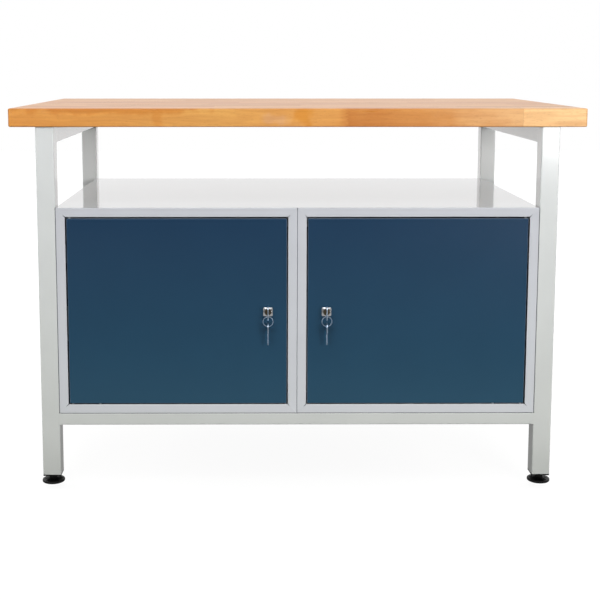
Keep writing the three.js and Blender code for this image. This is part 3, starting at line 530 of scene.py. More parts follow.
class Staves:
    """Where a point of the worktop lies: its row, its piece of wood, and that piece's random numbers."""

    def __init__(self, graph, low, high):
        self.width = (high.y - low.y) / STAVE_COUNT
        self.x, y, self.z = graph.axes(graph.place)
        self.across = graph.math("DIVIDE", graph.math("SUBTRACT", y, low.y - ROW_SETBACK), self.width)
        row = graph.math("FLOOR", self.across)
        self.front_row = graph.math("LESS_THAN", row, 0.5)
        row_random = graph.random(graph.join(row, *ROW_SEED))
        row_offset, row_length, _ = graph.axes(row_random.outputs["Color"])
        teeth = graph.math("PINGPONG", self.z, FINGER_PITCH / 2)
        zigzag = graph.math("MULTIPLY", teeth, 2 * FINGER_LENGTH / FINGER_PITCH)
        self.along = graph.math("ADD", self.x, zigzag)
        self.length = graph.between(row_length, 0.0, 1.0, *STAVE_LENGTHS)
        offset = graph.math("MULTIPLY", row_offset, ROW_OFFSET)
        self.pieces_along = graph.math("ADD", graph.math("DIVIDE", self.along, self.length), offset)
        self.past_fingers = graph.math("GREATER_THAN", self.along, FRONT_FINGER_JOINT + FINGER_LENGTH / 2)
        self.past_butt = graph.math("GREATER_THAN", self.x, FRONT_BUTT_JOINT)
        front_piece = graph.math("ADD", self.past_fingers, self.past_butt)
        piece = graph.pick(self.front_row, graph.math("FLOOR", self.pieces_along), front_piece)
        self.random = graph.random(graph.join(row, piece, PIECE_SEED)).outputs["Color"]
        self.tone_random, self.hue_random, self.shift_random = graph.axes(self.random)


def patch(graph, staves, middle, reach):
    """One at the middle of an oval patch on the worktop's front edge, zero beyond its reach."""
    wander = graph.between(graph.noise(PATCH_CLOUDS_PER_METRE), *NOISE_MIDDLE, -PATCH_WANDER, PATCH_WANDER)
    across = graph.math("DIVIDE", graph.math("SUBTRACT", staves.x, middle[0]), reach[0])
    up = graph.math("DIVIDE", graph.math("SUBTRACT", staves.z, middle[1]), reach[1])
    away = graph.math("ADD", graph.length(graph.join(across, up, 0.0)), wander)
    return graph.smooth(away, *PATCH_EDGE)


def front_edge_tone(graph, staves, low, high):
    """The tones of the front row, from the left end to the right."""
    wander = graph.noise(TONE_CLOUDS_PER_METRE, stretch=(1.0, 1.0, 2.0))
    wander = graph.between(wander, *NOISE_MIDDLE, -TONE_WANDER, TONE_WANDER)
    front_x = graph.math("ADD", staves.x, graph.math("MULTIPLY", wander, staves.past_fingers))
    tone = graph.ramp(graph.between(front_x, low.x, high.x), FRONT_TONES)
    tone = graph.mix(staves.past_butt, tone, FRONT_LAST_PIECE)
    for middle, reach, share, patch_tone in FRONT_PATCHES:
        inside = patch(graph, staves, middle, reach)
        tone = graph.mix(graph.math("MULTIPLY", inside, share), tone, patch_tone)
    return tone


def stave_tone(graph, staves, low, high):
    """One tone for each piece of wood, and the photographed tones on the front row."""
    tone = graph.ramp(staves.tone_random, STAVE_TONES)
    tone = graph.mix(graph.math("MULTIPLY", staves.hue_random, HUE_SHARE), tone, colour(214, 138, 84))
    return graph.mix(staves.front_row, tone, front_edge_tone(graph, staves, low, high))


def grain(graph, staves, tone):
    """Streaks, figure and flecks along the wood. Gives the streaks and the tone with all of them."""
    shift = graph.vector("MULTIPLY", staves.random, GRAIN_SHIFT)
    shifted = graph.vector("ADD", graph.place, shift)
    long_streaks = {"detail": 6.0, "roughness": 0.6, "stretch": (0.05, 1.0, 1.0)}
    streaks = graph.noise(STREAKS_PER_METRE, place=shifted, **long_streaks)
    figure = graph.noise(FIGURE_PER_METRE, stretch=(0.35, 3.0, 3.0), place=shifted)
    rings = graph.math("PINGPONG", graph.math("MULTIPLY", figure, RINGS_IN_FIGURE), 0.5)
    flecks = graph.noise(FLECKS_PER_METRE, detail=1.0, stretch=(0.12, 1.0, 1.0), place=shifted)
    streaked = graph.between(streaks, *STREAKS_FADE, 0.0, STREAKS_SHARE)
    figured = graph.between(rings, *FIGURE_FADE, 0.0, FIGURE_SHARE)
    flecked = graph.between(flecks, *FLECKS_FADE, 0.0, FLECKS_SHARE)
    tone = graph.mix(streaked, tone, colour(190, 118, 52), "MULTIPLY")
    tone = graph.mix(figured, tone, colour(168, 98, 38))
    tone = graph.mix(flecked, tone, colour(146, 84, 40))
    return streaks, tone


def glue_seams(graph, staves):
    """One on the thin lines between rows and at the ends of the pieces, zero elsewhere."""
    in_row = graph.math("MULTIPLY", graph.math("PINGPONG", staves.across, 0.5), staves.width)
    row_seam = graph.math("LESS_THAN", in_row, GLUE_LINE / 2)
    in_piece = graph.math("MULTIPLY", graph.math("PINGPONG", staves.pieces_along, 0.5), staves.length)
    from_fingers = graph.math("SUBTRACT", staves.along, FRONT_FINGER_JOINT + FINGER_LENGTH / 2)
    from_butt = graph.math("SUBTRACT", staves.x, FRONT_BUTT_JOINT)
    in_front = graph.math("MINIMUM", graph.math("ABSOLUTE", from_fingers), graph.math("ABSOLUTE", from_butt))
    to_end = graph.pick(staves.front_row, in_piece, in_front)
    return graph.math("MAXIMUM", row_seam, graph.math("LESS_THAN", to_end, GLUE_LINE / 2))


def end_grain(graph, staves, tone):
    """Year rings about a heart of its own for each piece of wood, for the worktop's two ends."""
    heart_across = graph.between(staves.shift_random, 0.0, 1.0, -HEART_ACROSS, HEART_ACROSS)
    heart_height = graph.between(staves.hue_random, 0.0, 1.0, *HEART_HEIGHTS)
    heart = graph.join(0.0, heart_across, heart_height)
    across_stave = graph.math("MULTIPLY", graph.math("FRACT", staves.across), staves.width)
    in_stave = graph.join(0.0, across_stave, staves.z)
    to_heart = graph.length(graph.vector("SUBTRACT", in_stave, heart))
    year_rings = graph.math("PINGPONG", graph.math("MULTIPLY", to_heart, YEAR_RINGS_PER_METRE), 0.5)
    sawn = graph.mix(0.5, tone, colour(196, 140, 84))
    ringed = graph.between(year_rings, 0.0, 0.5, *YEAR_RING_SHARES)
    return graph.mix(ringed, sawn, colour(164, 104, 56))


def oiled_beech(name):
    """Finger-jointed staves of beech, each of its own tone, with fine grain, flecks and end grain."""
    graph = Graph(name)
    low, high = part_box("worktop")
    staves = Staves(graph, low, high)
    tone = stave_tone(graph, staves, low, high)
    streaks, grained = grain(graph, staves, tone)
    seam = glue_seams(graph, staves)
    jointed = graph.mix(graph.math("MULTIPLY", seam, GLUE_SHARE), grained, colour(120, 70, 34))
    # Painted shade: rounded edges of the wood are darker, standing in for the dimmer reflection on the
    # roundings
    bent = graph.math("MULTIPLY", graph.bent(), WOOD_EDGE_SHADE_SHARE)
    jointed = graph.mix(bent, jointed, colour(170, 104, 46))
    face_x, _, _ = graph.facing()
    at_ends = graph.math("GREATER_THAN", face_x, END_FACING)
    height = graph.math("SUBTRACT", graph.math("MULTIPLY", streaks, 0.5), seam)
    return graph.finish(
        Base_Color=graph.mix(at_ends, jointed, end_grain(graph, staves, tone)),
        Roughness=graph.between(streaks, *NOISE_MIDDLE, *WOOD_ROUGHNESS),
        Specular_IOR_Level=0.4,
        Normal=graph.bump(height, GRAIN_DEPTH, GRAIN_STRENGTH),
    )


MATERIALS = {
    "oiled_beech": oiled_beech("oiled_beech_staves"),
    "grey_powder_coat": powder_coat(
        "light_grey_paint", colour(212, 214, 213), colour(189, 191, 186), colour(226, 229, 232), 0.1,
        roughness=0.1, specular=0.5, gloss=0.7, crevice_share=0.94, crevice_fade=(0.94, 0.45),
        hollow_share=HOLLOW_SHARE,
    ),
    "cabinet_grey": powder_coat(
        "cabinet_grey_paint", colour(191, 192, 198), colour(197, 199, 201), colour(226, 230, 238), 0.3,
        roughness=0.1, specular=0.5, gloss=0.9, crevice_share=0.94, crevice_fade=(0.94, 0.45),
        shadow_rear_joint=True,
    ),
    "blue_powder_coat": powder_coat(
        "dark_blue_paint", colour(22, 46, 75), colour(34, 74, 94), colour(128, 140, 156), 0.9,
        roughness=0.24, specular=0.3, gloss=0.35, crevice_share=0.95, crevice_fade=(0.6, 0.42),
    ),
    "black_plastic": black_plastic("moulded_black_plastic"),
    "chrome": bare_metal("lock_chrome", colour(232, 233, 235), colour(214, 215, 218), 0.12, 120.0),
    "lock_core_brass": bare_metal("lock_core_brass", colour(140, 124, 96), colour(98, 88, 78), 0.32, 300.0),
    "zinc_plated_steel": bare_metal(
        "zinc_plating", colour(196, 200, 204), colour(176, 180, 184), 0.34, 60.0,
    ),
    # Keys: nickel with a blue tint that is a painted reflection of the blue doors, and a paler tone for the
    # light they mirror
    "nickel_plated_steel": bare_metal(
        "key_nickel_painted_blue_reflection", colour(222, 238, 255), colour(200, 218, 240), 0.36, 200.0, (1.0, 0.15, 0.15),
    ),
}


def seamless_shading():
    """Geometry nodes that join a node's separate triangles, so that its round edges can shade smoothly."""
    group = bpy.data.node_groups.new("seamless_shading", "GeometryNodeTree")
    group.interface.new_socket("Geometry", in_out="INPUT", socket_type="NodeSocketGeometry")
    group.interface.new_socket("Geometry", in_out="OUTPUT", socket_type="NodeSocketGeometry")
    nodes = group.nodes
    links = group.links
    start = nodes.new("NodeGroupInput")
    merge = nodes.new("GeometryNodeMergeByDistance")
    merge.inputs["Distance"].default_value = MERGE_DISTANCE
    angle = nodes.new("GeometryNodeInputMeshEdgeAngle")
    sharp = nodes.new("FunctionNodeCompare")
    sharp.data_type = "FLOAT"
    sharp.operation = "GREATER_THAN"
    sharp.inputs["B"].default_value = SOLID_SHARP
    normals = nodes.new("GeometryNodeSetMeshNormal")
    normals.mode = "SHARPNESS"
    normals.inputs["Remove Custom"].default_value = True
    end = nodes.new("NodeGroupOutput")
    links.new(start.outputs["Geometry"], merge.inputs["Geometry"])
    links.new(merge.outputs["Geometry"], normals.inputs["Mesh"])
    links.new(angle.outputs["Unsigned Angle"], sharp.inputs["A"])
    links.new(sharp.outputs["Result"], normals.inputs["Edge Sharpness"])
    links.new(normals.outputs["Mesh"], end.inputs["Geometry"])
    return group


SEAMLESS = seamless_shading()


def shade(piece):
    joined = piece.modifiers.new("joined", "NODES")
    joined.node_group = SEAMLESS
    weighted = piece.modifiers.new("flat_faces_stay_flat", "WEIGHTED_NORMAL")
    weighted.keep_sharp = True


def dress_nodes():
    slots = {row["node"]: row["material_slot"] for row in frame["record"]["subparts"]}
    for name, node in frame["nodes"].items():
        node.data.materials.clear()
        finish = slots[name]
        if finish == "grey_powder_coat" and ("cabinet" in name or "shelf" in name):
            finish = "cabinet_grey"
        if "lock_core" in name:
            finish = "lock_core_brass"
        node.data.materials.append(MATERIALS[finish])
        shade(node)


def link(piece, body, slot, material=None):
    bpy.context.scene.collection.objects.link(piece)
    piece.data.materials.append(material or MATERIALS[slot])
    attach(piece, body)
    return piece


def mesh_piece(name, shapes, sharp=PIECE_SHARP):
    """One object from a list of shapes, each a list of points and a list of faces."""
    points = []
    faces = []
    for shape_points, shape_faces in shapes:
        start = len(points)
        points.extend(shape_points)
        faces.extend(tuple(start + index for index in face) for face in shape_faces)
    mesh = bpy.data.meshes.new(name)
    mesh.from_pydata([tuple(point) for point in points], [], faces)
    mesh.validate()
    rows = bmesh.new()
    rows.from_mesh(mesh)
    bmesh.ops.recalc_face_normals(rows, faces=rows.faces)
    rows.to_mesh(mesh)
    rows.free()
    mesh.shade_smooth()
    mesh.set_sharp_from_angle(angle=sharp)
    return bpy.data.objects.new(name, mesh)


def skin(rings, closed_ends=True):
    """Faces over rings of points that follow one another, each with the same number of points."""
    sides = len(rings[0])
    points = [point for ring in rings for point in ring]
    faces = []
    for number in range(len(rings) - 1):
        for side in range(sides):
            across = (side + 1) % sides
            here = number * sides
            there = here + sides
            faces.append((here + side, here + across, there + across, there + side))
    if closed_ends:
        last = (len(rings) - 1) * sides
        faces.append(tuple(range(sides))[::-1])
        faces.append(tuple(range(last, last + sides)))
    return points, faces


def turned(profile, sides, wobble=None):
    """Rings turned about Z from radii and heights; wobble gives a radius from the height and the angle."""
    rings = []
    for radius, height in profile:
        ring = []
        for side in range(sides):
            angle = math.tau * side / sides
            reach = wobble(radius, height, angle) if wobble else radius
            ring.append(Vector((reach * math.cos(angle), reach * math.sin(angle), height)))
        rings.append(ring)
    return skin(rings)


def placed(shape, place, scale=MM, turn=None):
    points, faces = shape
    moved = [Vector(place) + scale * (turn @ point if turn else point) for point in points]
    return moved, faces


def hexagon_reach(across, angle):
    """How far out a hexagon's side lies at an angle, for a hexagon of that width across its flats."""
    half_side = math.pi / HEX_SIDES
    from_flat = (angle + half_side) % (2 * half_side) - half_side
    return across / 2 / math.cos(from_flat)


def hexagon(across, heights, chamfer):
    """A spanner hexagon whose corners are turned down at the top, as on a real nut or bolt head."""
    corner = across / 2 / math.cos(math.pi / HEX_SIDES)
    low, high = heights
    (upper_in, upper_down), (last_in, last_down) = CHAMFER_LEVELS
    levels = (
        (corner, low), (corner, high - chamfer),
        (corner - upper_in * chamfer, high - upper_down * chamfer),
        (across / 2 - last_in * chamfer, high - last_down * chamfer),
    )

    def flat_sided(radius, height, angle):
        return min(radius, hexagon_reach(across, angle))

    return turned(levels, HEXAGON_MESH_SIDES, flat_sided)


def thread(radius, depth, pitch, heights):
    """A stud with a real helical thread."""
    low, high = heights
    steps = round((high - low) / pitch * STEPS_PER_PITCH)

    def helical(level, height, angle):
        phase = (height / pitch - angle / math.tau) % 1.0
        crest = 1 - abs(2 * phase - 1)
        end = min(1.0, (high - height) / pitch)
        return radius - depth * (1 - min(1.0, THREAD_FLATNESS * crest) * end)

    levels = [(radius, low + (high - low) * step / steps) for step in range(steps + 1)]
    return turned(levels, THREAD_SIDES, helical)


def sole_ribs():
    """Low fins that run out from the collar over the sole."""
    shapes = []
    for number in range(SOLE_RIBS):
        angle = math.tau * (number + 0.5) / SOLE_RIBS
        out = Vector((math.cos(angle), math.sin(angle), 0))
        side = Vector((-math.sin(angle), math.cos(angle), 0))
        rings = []
        for radius, base, top in RIB_SECTIONS:
            crest = top + RIB_CREST
            outline = (
                (-1, base), (-RIB_SHOULDER, top), (-RIB_CREST_SHARE, crest),
                (RIB_CREST_SHARE, crest), (RIB_SHOULDER, top), (1, base),
            )
            ring = []
            for half, height in outline:
                ring.append(out * radius + side * half * RIB_HALF_WIDTH + Vector((0, 0, height)))
            rings.append(ring)
        shapes.append(skin(rings))
    return shapes


def add_feet():
    for place in ("front_left", "front_right", "rear_left", "rear_right"):
        node = f"foot_{place}"
        low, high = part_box(node)
        centre = Vector(((low.x + high.x) / 2, (low.y + high.y) / 2, low.z))
        sole = turned(SOLE_PROFILE, SOLE_SIDES)
        head = hexagon(HEXAGON_ACROSS, HEXAGON_HEIGHTS, HEXAGON_CHAMFER)
        shapes = [placed(shape, centre) for shape in [sole, head, *sole_ribs()]]
        pad = link(mesh_piece(f"foot_pad_{place}", shapes), f"{place}_foot", "black_plastic")
        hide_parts(node)
        stud = placed(thread(STUD_RADIUS, THREAD_DEPTH, THREAD_PITCH, THREAD_HEIGHTS), centre)
        link(mesh_piece(f"foot_stud_{place}", [stud]), f"{place}_foot", "zinc_plated_steel")


def rose():
    """The lock's pillowed square plate, whose corners fall away, with a round seat for the core."""
    rings = []
    for half_width, half_height, squareness, depth, corner_drop in ROSE_RINGS:
        ring = []
        for side in range(ROSE_SIDES):
            angle = math.tau * side / ROSE_SIDES
            ways = (math.cos(angle), math.sin(angle))
            share_x, share_z = (math.copysign(abs(way) ** (2 / squareness), way) for way in ways)
            cornered = min(1.0, abs(share_x * share_z) / ROSE_CORNER_FROM)
            front = -(depth - corner_drop * cornered)
            ring.append(Vector((half_width * share_x, front, half_height * share_z)))
        rings.append(ring)
    return skin(rings, closed_ends=False)


def add_lock_housings():
    turn = turn_to((0, 1, 0))
    for side in ("left", "right"):
        node = f"{side}_lock_housing"
        low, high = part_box(node)
        face = low.y + ROSE_THICKNESS * MM
        place = Vector(((low.x + high.x) / 2, face, (low.z + high.z) / 2))
        reach = (high.y - face) / MM
        points, _ = thread(BARREL_RADIUS, BARREL_THREAD_DEPTH, BARREL_THREAD_PITCH, (0.0, reach))
        rings = [points[start:start + THREAD_SIDES] for start in range(0, len(points), THREAD_SIDES)]
        bore = [Vector((point.x, point.y, 0)).normalized() * BARREL_BORE for point in rings[0]]
        bore_end = [point + Vector((0, 0, reach)) for point in bore]
        barrel = skin([bore, *rings, bore_end, bore], closed_ends=False)
        shapes = [placed(rose(), place), placed(barrel, place, turn=turn)]
        housing = link(mesh_piece(f"{side}_rose_and_barrel", shapes), f"{side}_door", "chrome")
        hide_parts(node)


def bead(start, end, first_out, second_out, seed):
    """A rippled weld bead in the inner corner along a line, with its two ways out of the corner."""
    chance = random.Random(seed)
    start = Vector(start)
    end = Vector(end)
    run = end - start
    steps = max(BEAD_LEAST_STEPS, round(run.length / BEAD_RIPPLE * STEPS_PER_RIPPLE))
    first = Vector(first_out)
    second = Vector(second_out)
    rings = []
    for step in range(steps + 1):
        share = step / steps
        taper = min(1.0, BEAD_TAPER * share + BEAD_END_SHARE, BEAD_TAPER * (1 - share) + BEAD_END_SHARE)
        ripple = 1 + BEAD_RIPPLE_SHARE * math.cos(math.tau * share * run.length / BEAD_RIPPLE)
        reach = BEAD_RADIUS * taper * (ripple + chance.uniform(-BEAD_UNEVENNESS, BEAD_UNEVENNESS))
        centre = start + run * share
        ring = [centre - (first + second) * BEAD_SINK]
        for part in range(BEAD_PARTS + 1):
            angle = math.pi / 2 * part / BEAD_PARTS
            swell = 1 - BEAD_FLATNESS + BEAD_FLATNESS * math.sin(2 * angle)
            ring.append(centre + reach * swell * (first * math.cos(angle) + second * math.sin(angle)))
        rings.append(ring)
    return skin(rings)


def ground_seam(start, end, across, outward, half_width, seed, rise=SEAM_RISE):
    """A weld that was ground nearly flush: a low, slightly uneven swell along a line."""
    chance = random.Random(seed)
    start = Vector(start)
    end = Vector(end)
    side = Vector(across)
    out = Vector(outward)
    run = end - start
    steps = max(SEAM_LEAST_STEPS, round(run.length / SEAM_STEP))
    foot = side * half_width * SEAM_FOOT_SHARE
    rings = []
    for step in range(steps + 1):
        centre = start + run * step / steps
        sunk = centre - out * SEAM_SINK
        sway = chance.uniform(-SEAM_SWAY, SEAM_SWAY)
        ring = [sunk - foot, sunk + foot]
        for part in range(SEAM_PARTS, -1, -1):
            offset = 2 * part / SEAM_PARTS - 1
            uneven = 1 + chance.uniform(-SEAM_UNEVENNESS, SEAM_UNEVENNESS)
            lift = rise * (1 - offset * offset) * uneven - SEAM_EDGE_SINK * offset * offset
            ring.append(centre + side * half_width * (offset + sway * (1 - abs(offset))) + out * lift)
        rings.append(ring)
    return skin(rings)


def seam_up(x, y, low, high, across, outward, seed):
    """A ground seam that runs up a tube's edge, from a little above its low end to a height."""
    return ground_seam((x, y, low + SEAM_INSET), (x, y, high), across, outward, SEAM_HALF_WIDTH, seed)


def bead_along(x, low_y, high_y, z, inwards, seed):
    """A bead under a rail, across the side of a leg."""
    ends = ((x, low_y + ACROSS_RAIL_INSET, z), (x, high_y - ACROSS_RAIL_INSET, z))
    return bead(*ends, inwards, (0, 0, -1), seed)


def frame_welds():
    """Every place where two tubes of the frame meet."""
    shapes = []
    leg_low, leg_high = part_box("leg_front_left")
    rear_low, rear_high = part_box("leg_rear_left")
    rail_low, rail_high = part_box("front_rail")
    back_low, back_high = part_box("rear_rail")
    bar_low, bar_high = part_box("top_bar_left")
    down = (0, 0, -1)
    up = (0, 0, 1)
    front = (0, -1, 0)
    rear = (0, 1, 0)
    for mirror in (1, -1):
        seed = 10 * (2 + mirror)
        inside = mirror * leg_high.x
        outside = mirror * leg_low.x
        inwards = (mirror, 0, 0)
        outwards = (-mirror, 0, 0)
        # Front rail against the front leg, rear rail against the side rail
        shapes.append(bead_along(inside, rail_low.y, rail_high.y, rail_low.z, inwards, seed))
        for y, out in ((rail_low.y, front), (rail_high.y, rear)):
            shapes.append(seam_up(inside, y, rail_low.z, rail_high.z, inwards, out, seed + 1))
        for y, out in ((back_low.y, front), (back_high.y, rear)):
            start = (inside, y, back_low.z + REAR_RAIL_INSET)
            shapes.append(bead(start, (inside, y, back_high.z - REAR_RAIL_INSET), inwards, out, seed + 2))
        # Side rails and top bars between the front and the rear leg
        for y, out in ((leg_high.y, rear), (rear_low.y, front)):
            for z, way in ((rail_low.z, down), (rail_high.z, up), (bar_low.z, down)):
                start = (outside + mirror * SIDE_BAR_INSET, y, z)
                shapes.append(bead(start, (inside - mirror * SIDE_BAR_INSET, y, z), out, way, seed + 3))
            for low, high in ((rail_low.z, rail_high.z), (bar_low.z, bar_high.z)):
                for x, way in ((outside, outwards), (inside, inwards)):
                    shapes.append(seam_up(x, y, low, high - SEAM_INSET, out, way, seed + 4))
        # Rear top bar against the rear leg
        shapes.append(bead_along(inside, rear_low.y, rear_high.y, bar_low.z, inwards, seed + 5))
        for y, out in ((rear_low.y, front), (rear_high.y, rear)):
            shapes.append(seam_up(inside, y, bar_low.z, bar_high.z - SEAM_INSET, inwards, out, seed + 6))
    return shapes


def mitre_welds(side):
    """Welds across the mitred corners of a cabinet's front, ground and painted over."""
    shapes = []
    walls = [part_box(f"{side}_cabinet_{part}") for part in ("hinge_side", "lock_side")]
    low_x = min(low.x for low, _ in walls)
    high_x = max(high.x for _, high in walls)
    low, high = walls[0]
    corners = (
        (low_x, low.z, 1, 1), (high_x, low.z, -1, 1), (low_x, high.z, 1, -1), (high_x, high.z, -1, -1),
    )
    for number, (x, z, way_x, way_z) in enumerate(corners):
        across = Vector((way_x, 0, -way_z)).normalized()
        points = [Vector((x + way_x * reach, low.y, z + way_z * reach)) for reach in MITRE_ENDS]
        seed = MITRE_SEED + number
        shapes.append(ground_seam(*points, across, (0, -1, 0), MITRE_HALF_WIDTH, seed, MITRE_RISE))
    return shapes


def turn_to(direction):
    """The turn that takes +Z to a direction."""
    return Vector((0, 0, 1)).rotation_difference(Vector(direction)).to_matrix()


def bolt(place, direction):
    """A hexagon head on its washer, standing out in a direction."""
    inner = WASHER_RADIUS - WASHER_EDGE
    upper = WASHER_THICKNESS - WASHER_EDGE
    profile = ((inner, 0.0), (WASHER_RADIUS, WASHER_EDGE), (WASHER_RADIUS, upper), (inner, WASHER_THICKNESS))
    washer = turned(profile, WASHER_SIDES)
    head = hexagon(BOLT_ACROSS, (WASHER_THICKNESS, WASHER_THICKNESS + BOLT_HEAD), BOLT_CHAMFER)
    return [placed(shape, place, turn=turn_to(direction)) for shape in (washer, head)]


def socket_screw(place, direction):
    """A low domed screw head with a hexagonal socket."""
    socket = SOCKET_ACROSS / 2

    def hexagonal_inside(radius, height, angle):
        return hexagon_reach(SOCKET_ACROSS, angle) if radius <= socket else radius

    profile = (*SCREW_PROFILE, (socket, SCREW_PROFILE[-1][1]), (socket, SOCKET_FLOOR))
    head = turned(profile, HEXAGON_MESH_SIDES, hexagonal_inside)
    return [placed(head, place, turn=turn_to(direction))]


def spot_row(start, end, direction):
    """Spot welds evenly along a line on a sheet."""
    start = Vector(start)
    run = Vector(end) - start
    spot = turned(SPOT_PROFILE, SPOT_SIDES)
    steps = max(1, round(run.length / SPOT_PITCH))
    return [placed(spot, start + run * step / steps, turn=turn_to(direction)) for step in range(steps + 1)]


def add_spot_welds():
    for side, outwards in (("left", -1), ("right", 1)):
        low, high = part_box(f"{side}_cabinet_back")
        wall_low, wall_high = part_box(f"{side}_cabinet_hinge_side")
        wall_x = wall_low.x if outwards < 0 else wall_high.x
        rear = (0, 1, 0)
        left, right = low.x + SPOT_INSET, high.x - SPOT_INSET
        bottom, top = low.z + SPOT_INSET, high.z - SPOT_INSET
        shapes = spot_row((left, high.y, bottom), (left, high.y, top), rear)
        shapes += spot_row((right, high.y, bottom), (right, high.y, top), rear)
        shapes += spot_row((left + SPOT_PITCH, high.y, bottom), (right - SPOT_PITCH, high.y, bottom), rear)
        shapes += spot_row((left + SPOT_PITCH, high.y, top), (right - SPOT_PITCH, high.y, top), rear)
        rail_low, rail_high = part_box(f"{side}_shelf_rail_left")
        rail_z = (rail_low.z + rail_high.z) / 2
        front_y, rear_y = rail_low.y + SPOT_PITCH, rail_high.y - SPOT_INSET
        shapes += spot_row((wall_x, front_y, rail_z), (wall_x, rear_y, rail_z), (outwards, 0, 0))
        shapes += spot_row(
            (wall_x, wall_high.y - SPOT_INSET, wall_low.z + SPOT_INSET),
            (wall_x, wall_high.y - SPOT_INSET, wall_high.z - SPOT_INSET), (outwards, 0, 0),
        )
        welds = mesh_piece(f"{side}_spot_welds", shapes, WELD_SHARP)
        link(welds, "bench", "grey_powder_coat", MATERIALS["cabinet_grey"])


def add_fasteners():
    for side, mirror in (("left", 1), ("right", -1)):
        wall_low, wall_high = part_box(f"{side}_cabinet_hinge_side")
        top_low, top_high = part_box(f"{side}_cabinet_top")
        if side == "left":
            outer = wall_low.x
            sheet = top_low.x - outer
        else:
            outer = wall_high.x
            sheet = outer - top_high.x
        shapes = []
        for z in CABINET_BOLT_HEIGHTS:
            leg_bolt = (outer + mirror * sheet, wall_low.y + LEG_BOLT_SETBACK, z)
            shapes.extend(bolt(leg_bolt, (mirror, 0, 0)))
            for y in JOINING_BOLTS_Y:
                shapes.extend(bolt((-mirror * sheet, y, z), (-mirror, 0, 0)))
        rail_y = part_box("rear_rail")[0].y + RAIL_BOLT_SETBACK
        for x in RAIL_BOLTS_X:
            shapes.extend(bolt((-mirror * x, rail_y, wall_low.z + sheet), (0, 0, 1)))
        link(mesh_piece(f"{side}_cabinet_bolts", shapes), "bench", "zinc_plated_steel")
    shapes = []
    low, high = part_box("top_bar_left")
    for mirror in (1, -1):
        for y in WORKTOP_SCREWS_Y:
            shapes.extend(socket_screw((mirror * (low.x + high.x) / 2, y, low.z), (0, 0, -1)))
    link(mesh_piece("worktop_screws", shapes), "bench", "zinc_plated_steel")


def add_welds():
    link(mesh_piece("frame_welds", frame_welds(), WELD_SHARP), "bench", "grey_powder_coat")
    for side in ("left", "right"):
        welds = mesh_piece(f"{side}_cabinet_welds", mitre_welds(side), WELD_SHARP)
        link(welds, "bench", "grey_powder_coat", MATERIALS["cabinet_grey"])


def add_room():
    world = bpy.data.worlds.new("room")
    bpy.context.scene.world = world
    world.use_nodes = True
    graph = Graph("room", world)
    lit = graph.nodes["Background"]
    lit.inputs["Color"].default_value = ROOM_LIGHT
    seen = graph.nodes.new("ShaderNodeBackground")
    sideways, forward, upward = graph.axes(graph.direction)
    graph.feed(lit.inputs["Strength"], graph.smooth(upward, *ROOM_STRENGTH_FADE, *ROOM_STRENGTH))
    behind = graph.smooth(forward, *ROOM_MIRRORED_FADE)
    ceiling = graph.smooth(upward, *CEILING_MIRRORED_FADE)
    plain = graph.between(graph.math("MAXIMUM", behind, ceiling), 0.0, 1.0, *ROOM_MIRRORED)
    to_right = graph.smooth(sideways, *WINDOW_LEFT_FADE)
    window = graph.math("MULTIPLY", graph.smooth(upward, *WINDOW_TOP_FADE), to_right)
    in_front = graph.smooth(forward, *WINDOW_FRONT_FADE, 0.0, WINDOW_MIRRORED)
    mirrored = graph.math("ADD", plain, graph.math("MULTIPLY", window, in_front))
    graph.feed(seen.inputs["Color"], WHITE)
    graph.feed(seen.inputs["Strength"], graph.for_viewers(1.0, mirrored))
    mix = graph.nodes.new("ShaderNodeMixShader")
    graph.feed(mix.inputs["Fac"], graph.viewed())
    graph.links.new(lit.outputs["Background"], mix.inputs[1])
    graph.links.new(seen.outputs["Background"], mix.inputs[2])
    graph.links.new(mix.outputs["Shader"], graph.nodes["World Output"].inputs["Surface"])


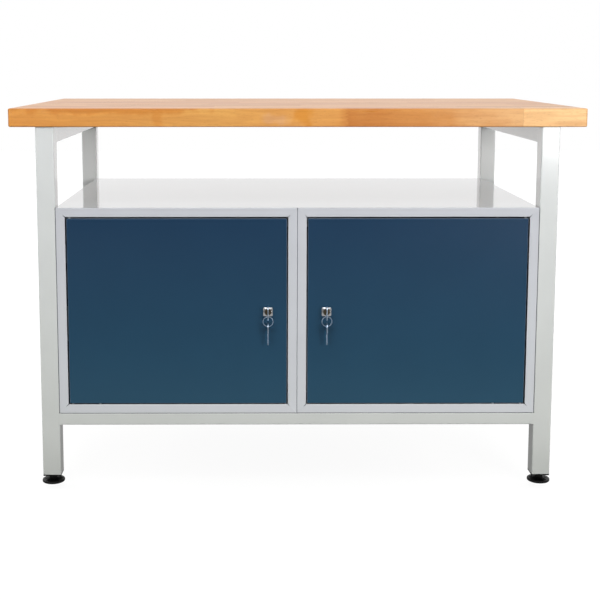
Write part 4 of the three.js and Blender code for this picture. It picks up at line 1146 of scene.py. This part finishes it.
def add_floor():
    mesh = bpy.data.meshes.new("floor")
    corners = [(x * FLOOR_HALF, y * FLOOR_HALF, 0) for x, y in ((-1, -1), (1, -1), (1, 1), (-1, 1))]
    mesh.from_pydata(corners, [], [(0, 1, 2, 3)])
    floor = bpy.data.objects.new("floor", mesh)
    floor.location.z = -FLOOR_BELOW_FEET
    bpy.context.scene.collection.objects.link(floor)
    graph = Graph("pale_floor")
    sideways, forward, _ = graph.axes(graph.place)
    away = graph.length(graph.place)
    glow = graph.smooth(away, *FLOOR_FADE, FLOOR_GLOW_NEAR, FLOOR_GLOW_FAR)
    near = graph.smooth(forward, *FLOOR_MIRRORED_FADE, *FLOOR_MIRRORED)
    window = graph.smooth(forward, *FLOOR_WINDOW_FADE, 0.0, FLOOR_WINDOW_MIRRORED)
    to_right = graph.smooth(sideways, *FLOOR_WINDOW_LEFT_FADE)
    behind = graph.smooth(forward, *FLOOR_BEHIND_FADE, 0.0, FLOOR_BEHIND_MIRRORED)
    mirrored = graph.math("ADD", graph.math("ADD", near, behind), graph.math("MULTIPLY", window, to_right))
    strength = graph.math("MULTIPLY", graph.viewed(), graph.for_viewers(glow, mirrored))
    mesh.materials.append(graph.finish(
        Base_Color=FLOOR_COLOUR,
        Roughness=0.9,
        Specular_IOR_Level=0.0,
        Emission_Color=WHITE,
        Emission_Strength=strength,
    ))


def add_lamps():
    for name, (place, aim, width, height, watts, tone, mirrored) in SOFTBOXES.items():
        data = bpy.data.lights.new(name, "AREA")
        data.shape = "RECTANGLE"
        data.size = width
        data.size_y = height
        data.energy = watts
        data.color = tone
        lamp = bpy.data.objects.new(name, data)
        lamp.location = place
        lamp.rotation_euler = (Vector(aim) - Vector(place)).to_track_quat("-Z", "Y").to_euler()
        lamp.visible_camera = False
        lamp.visible_glossy = mirrored
        bpy.context.scene.collection.objects.link(lamp)


def add_camera():
    data = bpy.data.cameras.new("camera")
    data.lens = LENS_MM
    data.sensor_width = SENSOR_MM
    data.shift_x = SHIFT_ACROSS_SHARE
    data.shift_y = SHIFT_UP_SHARE
    camera = bpy.data.objects.new("camera", data)
    camera.location = CAMERA_PLACE
    camera.rotation_euler = (math.pi / 2 - CAMERA_TILT_DOWN, 0, -CAMERA_TURN_RIGHT)
    bpy.context.scene.collection.objects.link(camera)
    bpy.context.scene.camera = camera


add_camera()
add_room()
add_floor()
add_lamps()
dress_nodes()
add_feet()
add_lock_housings()
add_welds()
add_spot_welds()
add_fasteners()
bpy.context.scene.view_settings.view_transform = "Standard"
